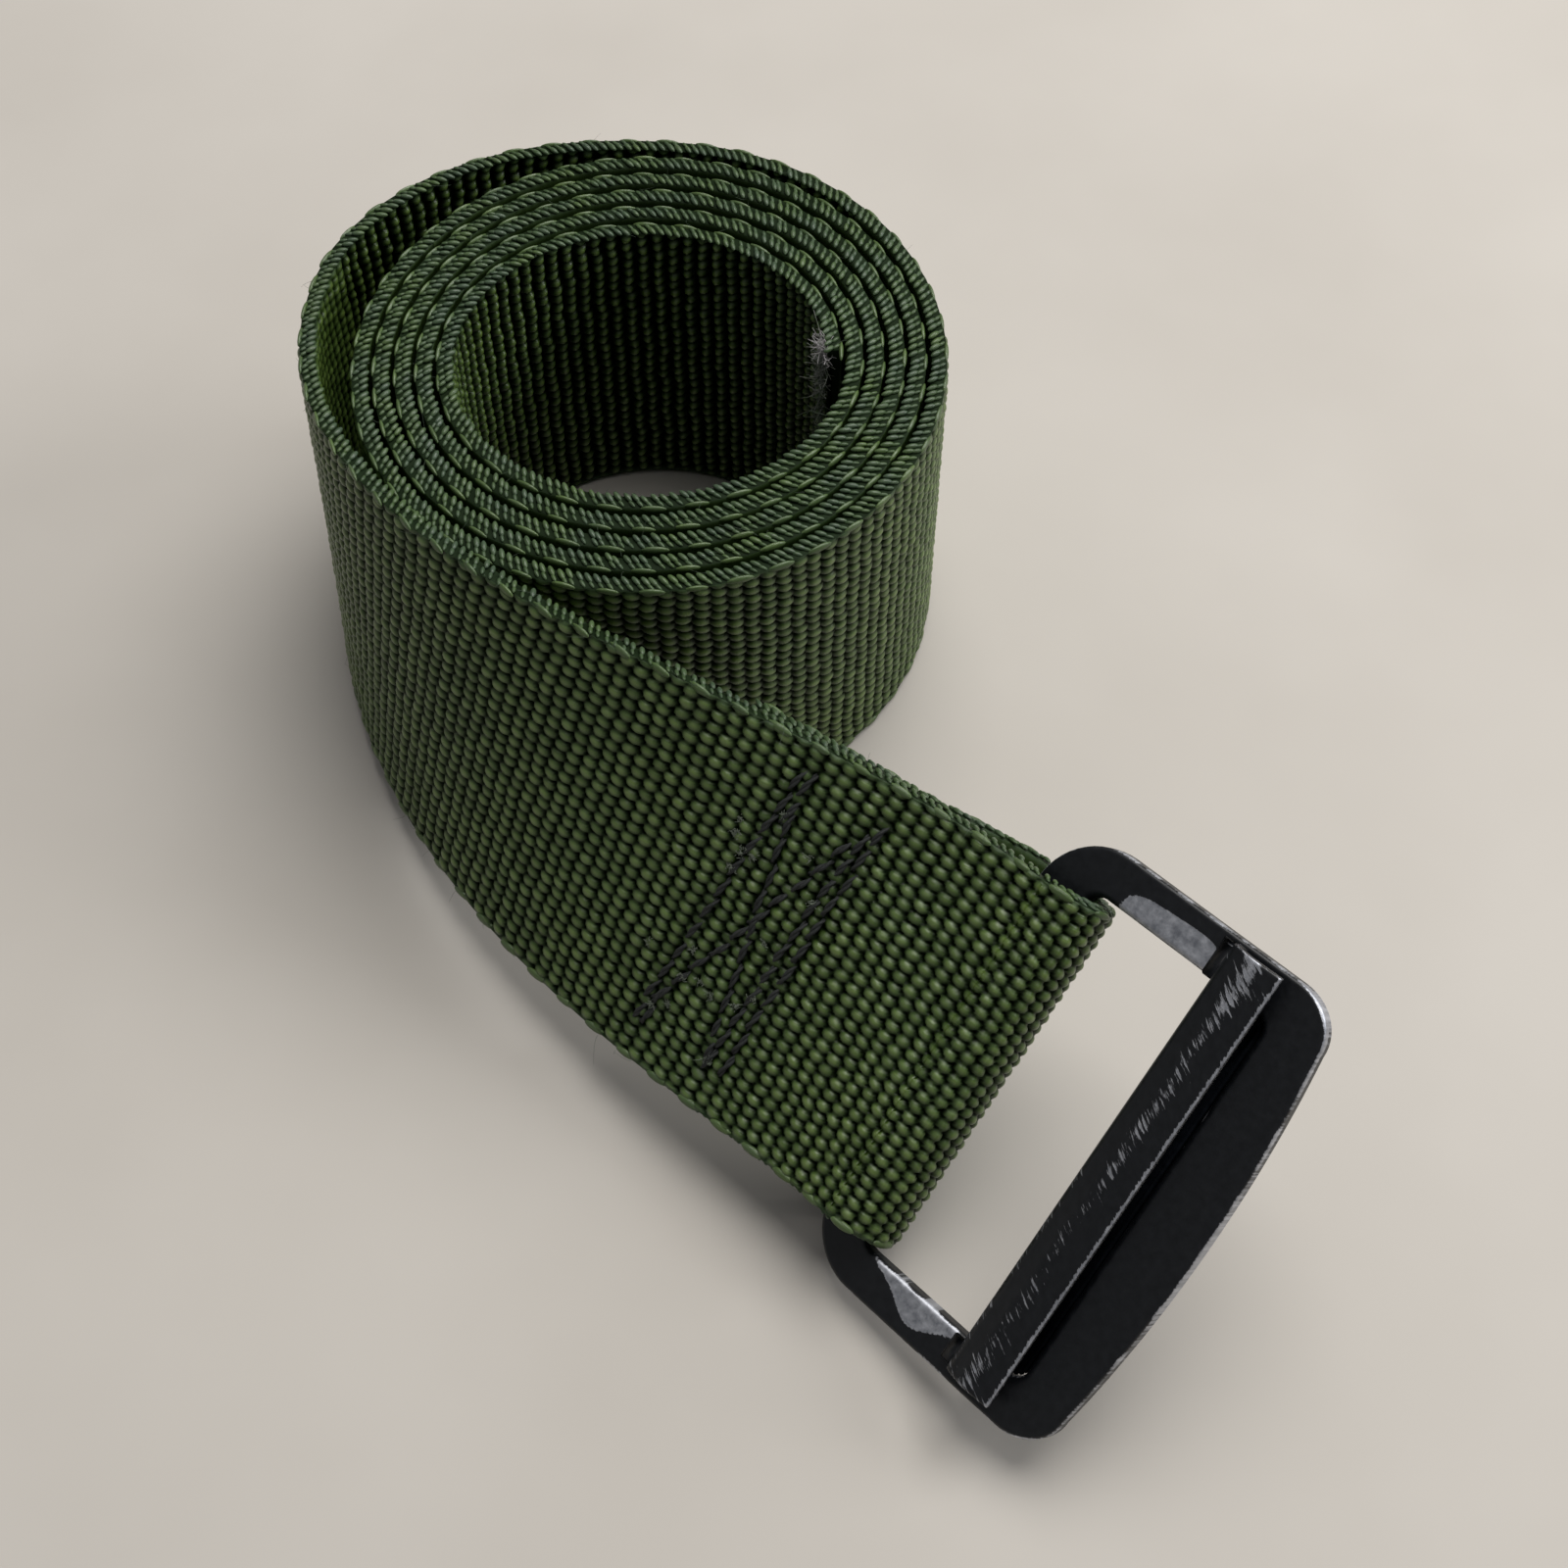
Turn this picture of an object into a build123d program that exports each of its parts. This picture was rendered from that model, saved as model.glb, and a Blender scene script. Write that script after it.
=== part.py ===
from build123d import *
import math
import os

# Strap-and-buckle tourniquet: one length of webbing rolled into a coil that stands on
# its edge, a free end that leans over towards a two-piece friction buckle, and the
# box-and-cross seam that closes the webbing round the buckle's rear bar.
# Millimetres, +Z up, floor at Z = 0.

# ---------------------------------------------------------------- driving dimensions

WEB_W = 38.1                # webbing width, one and a half inches
WEB_T = 1.95                # webbing thickness
WEB_R = 0.45                # rounding of the webbing's four long corners

COIL_X = -12.564             # axis of the coil; the origin is under the middle of the part
COIL_Y = 33.869
LAP_SIDE = 18.9             # centre line radius of the first lap, left and right
LAP_DEPTH = 17.1            # and front and back, so the roll is slightly flattened
PITCH_SIDE = 2.1            # growth in radius per lap, left and right
PITCH_DEPTH = 2.5           # laps are looser at the front and the back
OFFSET_X = -0.49            # the inner laps sit a little to the left
OFFSET_Y = 0.68             # and a little to the back
LAP_START = 0.012           # inner end of the webbing, in laps
LAP_END = 5 + 156 / 360     # where the free end leaves the coil, in laps
STAND_START = 5.24          # the last lap starts to stand off here
STAND_OFF = 4.9             # and has opened by this much where it leaves
POINTS_PER_LAP = 24

FLEX_GAP = 0.4              # clear gap at the line where the free end swings

LEAD_START_R = 36.05        # distance of that line from the coil's axis
LEAD_START_TURN = 6.4       # degrees the lead starts inward of the coil's tangent
LEAD_START_PULL = 39.0      # length of the first handle of the lead's curve
LEAD_END = (14.736, -33.431, 19.5)   # centre of the webbing above the buckle's rear bar
LEAD_END_PULL = 31.0
LEAD_HEADING = -46.2        # direction of the webbing at the buckle, from +X
LEAD_SLOPE = 6.2            # rise towards the buckle
LEAD_LEAN = 38.2            # lean of the webbing at the buckle; it is 90 at the coil
LEAD_LEAN_DELAY = 1.15      # over 1, the lean comes later along the webbing
LEAD_CLIMB = (0, -3.0, 3.1) # half way, the webbing bears on the coil's shoulder and lifts
LEAD_STATIONS = 29

BAR_LOOP_R = 5.2            # outer radius of the webbing's turn round the rear bar
PLY_GAP = 0.1               # gap between the two sewn plies
TAIL_STATIONS = 17          # the folded-under end, at half the lead's spacing
TAIL_MEET = 14.0            # distance behind the bar at which the plies meet

# Ends of the three seams, far end first: distance behind the rear bar, and across.
SEAM_FRONT = ((14.5, 15.0), (17.3, -14.5))
SEAM_INNER = ((15.8, 13.4), (19.2, -14.9))
SEAM_REAR = ((23.3, 16.0), (28.0, -14.9))
BACKTACK_STEP = 1.1         # doubled stitching lies this far in front of the rear seam
FAR_BACKTACK = 0.17         # and covers these parts of it from either end
NEAR_BACKTACK = 0.13
STITCH = (2.0, 0.6, 0.3)    # length, width and height of one lockstitch
STITCH_PITCH = 2.7
STITCH_CLEAR = 0.13         # a stitch lies this far off the webbing

FRAME_HALF_W = 24.2         # half the width over the rails
FRAME_REAR = -2.6           # rear edge, from the centre of the rear bar
FRAME_CORNER_X = 27.1       # where the bowed front edge meets the corners' sides
FRAME_BOW = 29.2            # furthest point of the front edge
FRAME_T = 2.0
FRAME_REAR_R = 6.6
FRAME_FRONT_R = 4.4
WINDOW_HALF_W = 19.8
WINDOW_REAR = 2.6
WINDOW_FRONT = 22.6
WINDOW_R = 1.6
FRAME_EDGE = 0.35           # rounding of the stamped edges

GRIP_HALF_L = 23.2          # the grip bar's ends, short of the rails' outer edges
GRIP_SHIFT = 0.6            # it lies a little to the far side
GRIP_REAR = 16.6
GRIP_LIP = 22.1
GRIP_T = 1.1
GRIP_CROWN = 19.4           # the top is bent along this line, its highest
GRIP_CROWN_TOP = 3.75       # above the middle of the frame, as are the next two
GRIP_LIP_TOP = 3.35
GRIP_HEEL_TOP = 2.8
GRIP_BEND_R = 1.1           # outer radius of the bend over the heel
GRIP_CROWN_R = 3.0
GRIP_LEG_TOP = 0.5          # the lower leg runs forward inside the window
GRIP_LEG_HALF_L = 18.2
GRIP_LEG_GAP = 0.2          # and stops this far from the window's front edge
GRIP_RIDE = 0.15            # clearance between the grip bar and the rails
GRIP_DIP = -0.4             # the heel dips into the window to this level
SHOE_REAR = 15.3            # thin shoes that ride on the rails behind the heel
SHOE_T = 0.45
KEEPER_W = 1.2              # legs that pass down inside the rails
KEEPER_FOOT = 2.4           # reach of their feet under the rails
KEEPER_LENGTH = 3.2         # extent of the keepers along the rails
KEEPER_MIDDLE = 18.5        # and their middle, in front of the rear bar

os.makedirs("parts", exist_ok=True)


# ------------------------------------------------------------------- webbing's course

def ease(x):
    """Smooth step from 0 to 1."""
    x = min(1.0, max(0.0, x))
    return x * x * (3 - 2 * x)


def lap_radius(laps):
    """Radius of the webbing's centre line after so many laps of the coil."""
    angle = 2 * math.pi * laps
    side = (LAP_SIDE + PITCH_SIDE * laps) * math.cos(angle) ** 2
    depth = (LAP_DEPTH + PITCH_DEPTH * laps) * math.sin(angle) ** 2
    stand = STAND_OFF * ease((laps - STAND_START) / (LAP_END - STAND_START))
    return side + depth + OFFSET_X * math.cos(angle) + OFFSET_Y * math.sin(angle) + stand


def lap_point(laps, side):
    """Point on the coil's centre line (side 0) or on one of its faces (side -1 or +1)."""
    angle = 2 * math.pi * laps
    radius = lap_radius(laps) + side * WEB_T / 2
    return (COIL_X + radius * math.cos(angle), COIL_Y + radius * math.sin(angle))


def direction(heading, slope):
    """Unit vector with this heading from +X and this slope, both in degrees."""
    flat = math.cos(math.radians(slope))
    return Vector(
        flat * math.cos(math.radians(heading)),
        flat * math.sin(math.radians(heading)),
        math.sin(math.radians(slope)),
    )


def lead_frame(t):
    """Plane across the free webbing: x through its thickness, y across its width."""
    start_angle = 360 * (LAP_END - 5)
    start = Vector(COIL_X, COIL_Y, WEB_W / 2) + direction(start_angle, 0) * LEAD_START_R
    end = Vector(*LEAD_END)
    pull_a = start + direction(start_angle + 90 + LEAD_START_TURN, 0) * LEAD_START_PULL
    pull_b = end - direction(LEAD_HEADING, LEAD_SLOPE) * LEAD_END_PULL
    s = 1 - t
    centre = start * s**3 + pull_a * (3 * s * s * t) + pull_b * (3 * s * t * t) + end * t**3
    centre += Vector(*LEAD_CLIMB) * (16 * s * s * t * t)
    along = (pull_a - start) * (s * s) + (pull_b - pull_a) * (2 * s * t) + (end - pull_b) * (t * t)
    along = (along * 3 + Vector(*LEAD_CLIMB) * (32 * s * t * (s - t))).normalized()
    level = Vector(-along.Y, along.X, 0).normalized()
    upward = along.cross(level)
    lean = math.radians(90 - (90 - LEAD_LEAN) * ease(t**LEAD_LEAN_DELAY))
    across = level * math.cos(lean) + upward * math.sin(lean)
    return Plane(origin=centre, x_dir=along.cross(across), z_dir=along)


# Length of webbing between each of many stations and the buckle's rear bar.
CHORDS = 200
chord_points = [lead_frame(i / CHORDS).origin for i in range(CHORDS + 1)]
chord_lengths = [(b - a).length for a, b in zip(chord_points, chord_points[1:])]
LEAD_LENGTH = sum(chord_lengths)


def station_behind(distance):
    """Station t that lies a distance back from the rear bar along the webbing."""
    station = CHORDS
    while distance > chord_lengths[station - 1]:
        station -= 1
        distance -= chord_lengths[station]
    return (station - distance / chord_lengths[station - 1]) / CHORDS


BAR = lead_frame(1)
BAR_DROP = BAR_LOOP_R - WEB_T / 2
BAR_CENTRE = BAR.origin - BAR.x_dir * BAR_DROP

# Buckle plane: x towards the buckle's front, y to the far side, z out of its face.
BUCKLE = Plane(origin=BAR_CENTRE, x_dir=BAR.z_dir, z_dir=BAR.x_dir)


# ----------------------------------------------------------------------- webbing: coil

turns = LAP_END - LAP_START
count = math.ceil(turns * POINTS_PER_LAP)
laps = [LAP_START + turns * i / count for i in range(count + 1)]

with BuildPart() as webbing_coil:
    with BuildSketch():
        with BuildLine():
            inner_face = Spline([lap_point(n, -1) for n in laps])
            outer_face = Spline([lap_point(n, 1) for n in laps])
            Line(inner_face @ 0, outer_face @ 0)
            Line(inner_face @ 1, outer_face @ 1)
        make_face()
    extrude(amount=WEB_W)


# ------------------------------------------------------- webbing: free end and sewn end

with BuildPart() as webbing_lead:
    first = station_behind(LEAD_LENGTH - FLEX_GAP)
    for i in range(LEAD_STATIONS):
        with BuildSketch(lead_frame(first + (1 - first) * i / (LEAD_STATIONS - 1))):
            RectangleRounded(WEB_T, WEB_W, WEB_R)
    loft()

with BuildPart() as webbing_loop:
    with BuildSketch(Plane(origin=BAR_CENTRE, x_dir=BAR.z_dir, z_dir=BUCKLE.y_dir * -1)):
        with BuildLine():
            outer_turn = CenterArc((0, 0), BAR_LOOP_R, -90, 180)
            inner_turn = CenterArc((0, 0), BAR_LOOP_R - WEB_T, -90, 180)
            Line(outer_turn @ 0, inner_turn @ 0)
            Line(outer_turn @ 1, inner_turn @ 1)
        make_face()
    extrude(amount=WEB_W / 2, both=True)

with BuildPart() as webbing_tail:
    for i in range(TAIL_STATIONS):
        t = 1 - (1 - first) * i / (LEAD_STATIONS - 1) / 2
        behind = (BAR.origin - lead_frame(t).origin).length
        drop = WEB_T + PLY_GAP + (2 * BAR_DROP - WEB_T - PLY_GAP) * (1 - ease(behind / TAIL_MEET))
        upper = lead_frame(t)
        under = upper.origin - upper.x_dir * drop
        with BuildSketch(Plane(origin=under, x_dir=upper.x_dir, z_dir=upper.z_dir)):
            RectangleRounded(WEB_T, WEB_W, WEB_R)
    loft()


# ---------------------------------------------------------------------------- stitching

def between(start, end, part):
    """Point part of the way from start to end, both (behind bar, across)."""
    return (start[0] + (end[0] - start[0]) * part, start[1] + (end[1] - start[1]) * part)


def stitch_places(start, end, side):
    """Places of the stitches of one row, from start to end, both (behind bar, across).

    side is +1 for the needle thread on the upper ply, -1 for the bobbin thread that
    shows under the tail.
    """
    number = max(2, round(math.dist(start, end) / STITCH_PITCH))
    height = WEB_T / 2 + STITCH_CLEAR
    if side < 0:
        height += WEB_T + PLY_GAP
    places = []
    for i in range(number):
        ends = []
        for part in (i / number, (i + 1) / number):
            behind, across = between(start, end, part)
            frame = lead_frame(station_behind(behind))
            ends.append(frame.origin + frame.y_dir * across + frame.x_dir * (side * height))
        middle = (ends[0] + ends[1]) / 2
        places.append(Plane(origin=middle, x_dir=ends[1] - ends[0], z_dir=frame.x_dir * side))
    return places


def in_front(point):
    """The same place across the webbing, moved to the front by the backtacks' step."""
    return (point[0] - BACKTACK_STEP, point[1])


far_inner, near_inner = SEAM_INNER
far_rear, near_rear = SEAM_REAR

# The diagonals stop short of the seams, and the second one skips the crossing.
RISING_START, RISING_END = 0.22, 0.88
FALLING_START, FALLING_END = 0.20, 0.90
CROSSING_START, CROSSING_END = 0.435, 0.555
ROWS = {
    "front_row": [SEAM_FRONT],
    "inner_row": [SEAM_INNER],
    "rear_row": [SEAM_REAR],
    "rising_diagonal": [
        (
            between(near_rear, far_inner, RISING_START),
            between(near_rear, far_inner, RISING_END),
        ),
    ],
    "falling_diagonal": [
        (
            between(far_rear, near_inner, FALLING_START),
            between(far_rear, near_inner, CROSSING_START),
        ),
        (
            between(far_rear, near_inner, CROSSING_END),
            between(far_rear, near_inner, FALLING_END),
        ),
    ],
    "far_backtack": [
        (in_front(far_rear), in_front(between(far_rear, near_rear, FAR_BACKTACK))),
    ],
    "near_backtack": [
        (in_front(near_rear), in_front(between(near_rear, far_rear, NEAR_BACKTACK))),
    ],
}

stitching = []
for thread, side in (("needle", 1), ("bobbin", -1)):
    for row, runs in ROWS.items():
        with BuildPart() as stitches:
            for start, end in runs:
                with Locations(*stitch_places(start, end, side)):
                    Box(*STITCH, align=(Align.CENTER, Align.CENTER, Align.MIN))
        stitches.part.label = thread + "_" + row
        stitching.append(stitches)


# ------------------------------------------------------------------------- buckle frame

# The buckle's two pieces are drawn flat, with the rear bar's centre at the origin, X to
# the front and Z out of the face, and are then laid into the buckle's plane.

with BuildPart() as buckle_frame:
    with BuildSketch(Plane.XY.offset(-FRAME_T / 2)):
        with BuildLine():
            Polyline(
                (FRAME_CORNER_X, -FRAME_HALF_W),
                (FRAME_REAR, -FRAME_HALF_W),
                (FRAME_REAR, FRAME_HALF_W),
                (FRAME_CORNER_X, FRAME_HALF_W),
            )
            ThreePointArc(
                (FRAME_CORNER_X, -FRAME_HALF_W), (FRAME_BOW, 0), (FRAME_CORNER_X, FRAME_HALF_W)
            )
        outline = make_face()
        rear_corners = outline.vertices().filter_by(lambda v: v.X < 0)
        front_corners = outline.vertices().filter_by(lambda v: v.X > 0)
        fillet(rear_corners, FRAME_REAR_R)
        fillet(front_corners, FRAME_FRONT_R)
        with Locations(((WINDOW_REAR + WINDOW_FRONT) / 2, 0)):
            RectangleRounded(
                WINDOW_FRONT - WINDOW_REAR, 2 * WINDOW_HALF_W, WINDOW_R, mode=Mode.SUBTRACT
            )
    extrude(amount=FRAME_T)
    flat_faces = buckle_frame.faces().filter_by(Axis.Z)
    fillet(flat_faces.edges(), FRAME_EDGE)


# ----------------------------------------------------------------------------- grip bar

rail_top = FRAME_T / 2 + GRIP_RIDE
rail_under = -FRAME_T / 2 - GRIP_RIDE
between_rails = WINDOW_HALF_W - GRIP_RIDE

with BuildPart() as grip_bar:
    # Bent plate: the heel stands on the rails and the top runs forward to the lip.
    with BuildSketch(Plane.XZ.offset(-GRIP_SHIFT)):
        with BuildLine():
            Polyline(
                (GRIP_REAR, rail_top),
                (GRIP_REAR, GRIP_HEEL_TOP),
                (GRIP_CROWN, GRIP_CROWN_TOP),
                (GRIP_LIP, GRIP_LIP_TOP),
                (GRIP_LIP, GRIP_LIP_TOP - GRIP_T),
                (GRIP_CROWN, GRIP_CROWN_TOP - GRIP_T),
                (GRIP_REAR + GRIP_T, GRIP_HEEL_TOP - GRIP_T),
                (GRIP_REAR + GRIP_T, rail_top),
                close=True,
            )
        bent = make_face()
        fillet(bent.vertices().sort_by_distance((GRIP_REAR, GRIP_HEEL_TOP))[0], GRIP_BEND_R)
        crown = vertices().sort_by_distance((GRIP_CROWN, GRIP_CROWN_TOP))[0]
        fillet(crown, GRIP_CROWN_R)
    extrude(amount=GRIP_HALF_L, both=True)
    # Between the rails the heel reaches down into the window and presses the webbing.
    with BuildSketch(Plane.XY.offset(GRIP_DIP)):
        with Locations((GRIP_REAR + GRIP_T / 2, 0)):
            Rectangle(GRIP_T, 2 * between_rails)
    extrude(amount=rail_top - GRIP_DIP)
    # A leg runs forward from the heel's foot, and closes the window when the bar is forward.
    leg_front = WINDOW_FRONT - GRIP_LEG_GAP
    with BuildSketch(Plane.XY.offset(GRIP_DIP)):
        with Locations(((GRIP_REAR + leg_front) / 2, 0)):
            Rectangle(leg_front - GRIP_REAR, 2 * GRIP_LEG_HALF_L)
    extrude(amount=GRIP_LEG_TOP - GRIP_DIP)
    # Each end has a shoe that slides on the rail, and a keeper that hooks under it.
    for far in (-1, 1):
        rail_end = GRIP_HALF_L + far * GRIP_SHIFT
        with BuildSketch(Plane.XY.offset(rail_top)):
            with Locations(((SHOE_REAR + GRIP_REAR) / 2, far * (WINDOW_HALF_W + rail_end) / 2)):
                Rectangle(GRIP_REAR - SHOE_REAR, rail_end - WINDOW_HALF_W)
        extrude(amount=SHOE_T)
        with BuildSketch(Plane.XY.offset(rail_under - GRIP_T)):
            with Locations((KEEPER_MIDDLE, far * (between_rails - KEEPER_W / 2))):
                Rectangle(KEEPER_LENGTH, KEEPER_W)
        extrude(amount=GRIP_HEEL_TOP - rail_under)
        with BuildSketch(Plane.XY.offset(rail_under - GRIP_T)):
            with Locations((KEEPER_MIDDLE, far * (between_rails - KEEPER_W / 2 + KEEPER_FOOT / 2))):
                Rectangle(KEEPER_LENGTH, KEEPER_W + KEEPER_FOOT)
        extrude(amount=GRIP_T)

buckle_frame.part = BUCKLE.location * buckle_frame.part
grip_bar.part = BUCKLE.location * grip_bar.part


# ------------------------------------------------------------------------------- export

webbing_coil.part.label = "webbing_coil"
webbing_lead.part.label = "webbing_lead"
webbing_loop.part.label = "webbing_loop"
webbing_tail.part.label = "webbing_tail"
buckle_frame.part.label = "buckle_frame"
grip_bar.part.label = "grip_bar"

pieces = [webbing_coil, webbing_lead, webbing_loop, webbing_tail, buckle_frame, grip_bar]
for piece in pieces + stitching:
    export_step(piece.part, "parts/" + piece.part.label + ".step")
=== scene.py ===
import math

import bpy
import numpy as np
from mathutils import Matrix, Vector


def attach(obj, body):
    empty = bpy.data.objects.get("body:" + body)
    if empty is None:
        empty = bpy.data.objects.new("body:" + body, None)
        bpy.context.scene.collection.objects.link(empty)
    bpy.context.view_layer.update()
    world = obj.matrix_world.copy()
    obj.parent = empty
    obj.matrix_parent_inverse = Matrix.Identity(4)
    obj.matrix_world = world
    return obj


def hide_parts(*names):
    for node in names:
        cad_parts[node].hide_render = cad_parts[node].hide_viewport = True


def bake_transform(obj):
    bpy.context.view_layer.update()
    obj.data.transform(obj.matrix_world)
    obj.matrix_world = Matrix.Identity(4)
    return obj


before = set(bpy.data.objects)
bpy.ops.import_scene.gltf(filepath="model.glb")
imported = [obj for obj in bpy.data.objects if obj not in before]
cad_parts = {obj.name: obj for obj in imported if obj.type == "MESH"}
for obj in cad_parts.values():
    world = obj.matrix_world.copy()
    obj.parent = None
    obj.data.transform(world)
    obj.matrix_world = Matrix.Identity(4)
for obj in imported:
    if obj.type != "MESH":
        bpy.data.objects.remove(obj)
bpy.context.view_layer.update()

MM = 0.001
rng = np.random.default_rng(7)

# Every length below is in millimetres and is the same as the CAD's, until a mesh is made.

# -------- the webbing's course

WEB_W = 38.1
WEB_T = 1.95
COIL_CENTRE = np.array([-12.564, 33.869, WEB_W / 2])
LAP_SIDE = 18.9  # centre line radius of the first lap, left and right
LAP_DEPTH = 17.1  # and front and back
PITCH_SIDE = 2.1  # growth in radius per lap, left and right
PITCH_DEPTH = 2.5  # and front and back
OFFSET_X = -0.49  # the inner laps lie a little to the left
OFFSET_Y = 0.68  # and a little to the back
LAP_START = 0.012
LAP_END = 5 + 156 / 360
STAND_START = 5.24  # the last lap starts to stand off here
STAND_OFF = 4.9  # and has opened by this much at its end
LEAD_START_R = 36.05
LEAD_START_TURN = 6.4
LEAD_START_PULL = 39.0
LEAD_END = np.array([14.736, -33.431, 19.5])
LEAD_END_PULL = 31.0
LEAD_HEADING = -46.2
LEAD_SLOPE = 6.2
LEAD_LEAN = 38.2
LEAD_LEAN_DELAY = 1.15
LEAD_CLIMB = np.array([0.0, -3.0, 3.1])
BAR_LOOP_R = 5.2
BAR_DROP = BAR_LOOP_R - WEB_T / 2
PLY_GAP = 0.1
TAIL_LENGTH = 30.5
TAIL_MEET = 14.0
JOIN_LENGTH = 4.0  # the free end takes up its own course over this length


def ease(x):
    """Smooth step from 0 to 1."""
    x = np.clip(x, 0.0, 1.0)
    return x * x * (3 - 2 * x)


def unit(v):
    return v / np.linalg.norm(v, axis=-1, keepdims=True)


def direction(heading, slope=0.0):
    """Unit vector with this heading from +X and this slope, both in degrees."""
    h, s = math.radians(heading), math.radians(slope)
    return np.array([math.cos(s) * math.cos(h), math.cos(s) * math.sin(h), math.sin(s)])


def course_lengths(points):
    """Length along a line of points, from its start to each of them."""
    steps = np.linalg.norm(np.diff(points, axis=0), axis=1)
    return np.concatenate([[0], np.cumsum(steps)])


def coil_centre(laps):
    """Centre line of the coil after so many laps."""
    a = 2 * math.pi * laps
    side = (LAP_SIDE + PITCH_SIDE * laps) * np.cos(a) ** 2
    depth = (LAP_DEPTH + PITCH_DEPTH * laps) * np.sin(a) ** 2
    stand = STAND_OFF * ease((laps - STAND_START) / (LAP_END - STAND_START))
    r = side + depth + OFFSET_X * np.cos(a) + OFFSET_Y * np.sin(a) + stand
    return COIL_CENTRE + np.stack([r * np.cos(a), r * np.sin(a), 0 * a], -1)


def coil_line(laps):
    """Centre, direction along, direction across and outward direction of the coil."""
    step = 1e-4
    along = unit(coil_centre(laps + step) - coil_centre(laps - step))
    across = np.zeros_like(along) + np.array([0.0, 0.0, 1.0])
    return coil_centre(laps), along, across, np.cross(along, across)


def lead_line(t):
    """The same four for the free end, from the coil (0) to the buckle's rear bar (1)."""
    t = np.atleast_1d(t)[:, None]
    s = 1 - t
    start_angle = 360 * (LAP_END - 5)
    start = COIL_CENTRE + direction(start_angle) * LEAD_START_R
    pull_a = start + direction(start_angle + 90 + LEAD_START_TURN) * LEAD_START_PULL
    pull_b = LEAD_END - direction(LEAD_HEADING, LEAD_SLOPE) * LEAD_END_PULL
    centre = start * s**3 + pull_a * 3 * s * s * t + pull_b * 3 * s * t * t + LEAD_END * t**3
    centre = centre + LEAD_CLIMB * 16 * s * s * t * t
    along = (pull_a - start) * s * s + (pull_b - pull_a) * 2 * s * t + (LEAD_END - pull_b) * t * t
    along = unit(along * 3 + LEAD_CLIMB * 32 * s * t * (s - t))
    level = unit(np.stack([-along[:, 1], along[:, 0], 0 * along[:, 0]], -1))
    upward = np.cross(along, level)
    lean = np.radians(90 - (90 - LEAD_LEAN) * ease(t**LEAD_LEAN_DELAY))
    across = level * np.cos(lean) + upward * np.sin(lean)
    return centre, along, across, np.cross(along, across)


end_centre, BAR_U, BAR_V, BAR_N = (x[0] for x in lead_line(1.0))
BAR = end_centre - BAR_N * BAR_DROP


def loop_line(turn):
    """The turn round the rear bar, from on top of it (0) to underneath (pi)."""
    turn = turn[:, None]
    out = BAR_N * np.cos(turn) + BAR_U * np.sin(turn)
    along = BAR_U * np.cos(turn) - BAR_N * np.sin(turn)
    return BAR + out * BAR_DROP, along, BAR_V + 0 * out, out


lead_t = np.linspace(0, 1, 2001)
lead_s = course_lengths(lead_line(lead_t)[0])
coil_laps = np.linspace(LAP_START, LAP_END, 8001)
coil_s = course_lengths(coil_centre(coil_laps))
COIL_LENGTH = coil_s[-1]
LEAD_LENGTH = lead_s[-1]
LOOP_LENGTH = math.pi * BAR_DROP
LOOP_START = COIL_LENGTH + LEAD_LENGTH
TAIL_START = LOOP_START + LOOP_LENGTH


# Each of these gives the four vectors at lengths s along the whole webbing.

def coil_at(s):
    return coil_line(np.interp(s, coil_s, coil_laps))


def lead_at(s):
    """The free end at these lengths. It starts exactly as the coil ends."""
    centre, along, across, out = lead_line(np.interp(s - COIL_LENGTH, lead_s, lead_t))
    coil_end = coil_line(np.array([LAP_END]))
    lead_start = lead_line(0.0)
    near = (1 - ease((s - COIL_LENGTH) / JOIN_LENGTH))[:, None]
    centre = centre + near * (coil_end[0] - lead_start[0])
    along = unit(along + near * (coil_end[1] - lead_start[1]))
    return centre, along, across, np.cross(along, across)


def lead_behind(distance):
    """The free end at these distances behind the rear bar."""
    return lead_line(np.interp(LEAD_LENGTH - distance, lead_s, lead_t))


def loop_at(s):
    return loop_line((s - LOOP_START) / LOOP_LENGTH * math.pi)


def tail_at(s):
    """The folded-under end, which comes up to the free end and then follows it."""
    behind = np.maximum(np.atleast_1d(s) - TAIL_START, 0)
    step = 1e-3

    def under(distance):
        centre, _, _, out = lead_behind(distance)
        apart = 1 - ease(distance / TAIL_MEET)
        drop = WEB_T + PLY_GAP + (2 * BAR_DROP - WEB_T - PLY_GAP) * apart
        return centre - out * drop[:, None]

    centre = under(behind)
    along = unit(under(behind + step) - centre)
    across = lead_behind(behind)[2]
    return centre, along, across, unit(np.cross(along, across))


# -------- the seam's layout

# Ends of the seams: distance behind the rear bar, and across the webbing.
far_front, near_front = np.array([14.5, 15.0]), np.array([17.3, -14.5])
far_inner, near_inner = np.array([15.8, 13.4]), np.array([19.2, -14.9])
far_rear, near_rear = np.array([23.3, 16.0]), np.array([28.0, -14.9])
BACKTACK_STEP = np.array([-1.1, 0.0])
FAR_BACKTACK = 0.19  # parts of the rear seam that are sewn twice
NEAR_BACKTACK = 0.16
RISING = (0.10, 0.95)  # the parts of the diagonals that are sewn
FALLING = (0.14, 0.98)
PULL_WIDTH = 0.75  # a seam draws the webbing in over this width
SEAM_PULL = 0.28  # by this much
PULL_SHADE = 0.25  # and darkens it by this part, as painted shade


def between(a, b, part):
    return a + (b - a) * part


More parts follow.
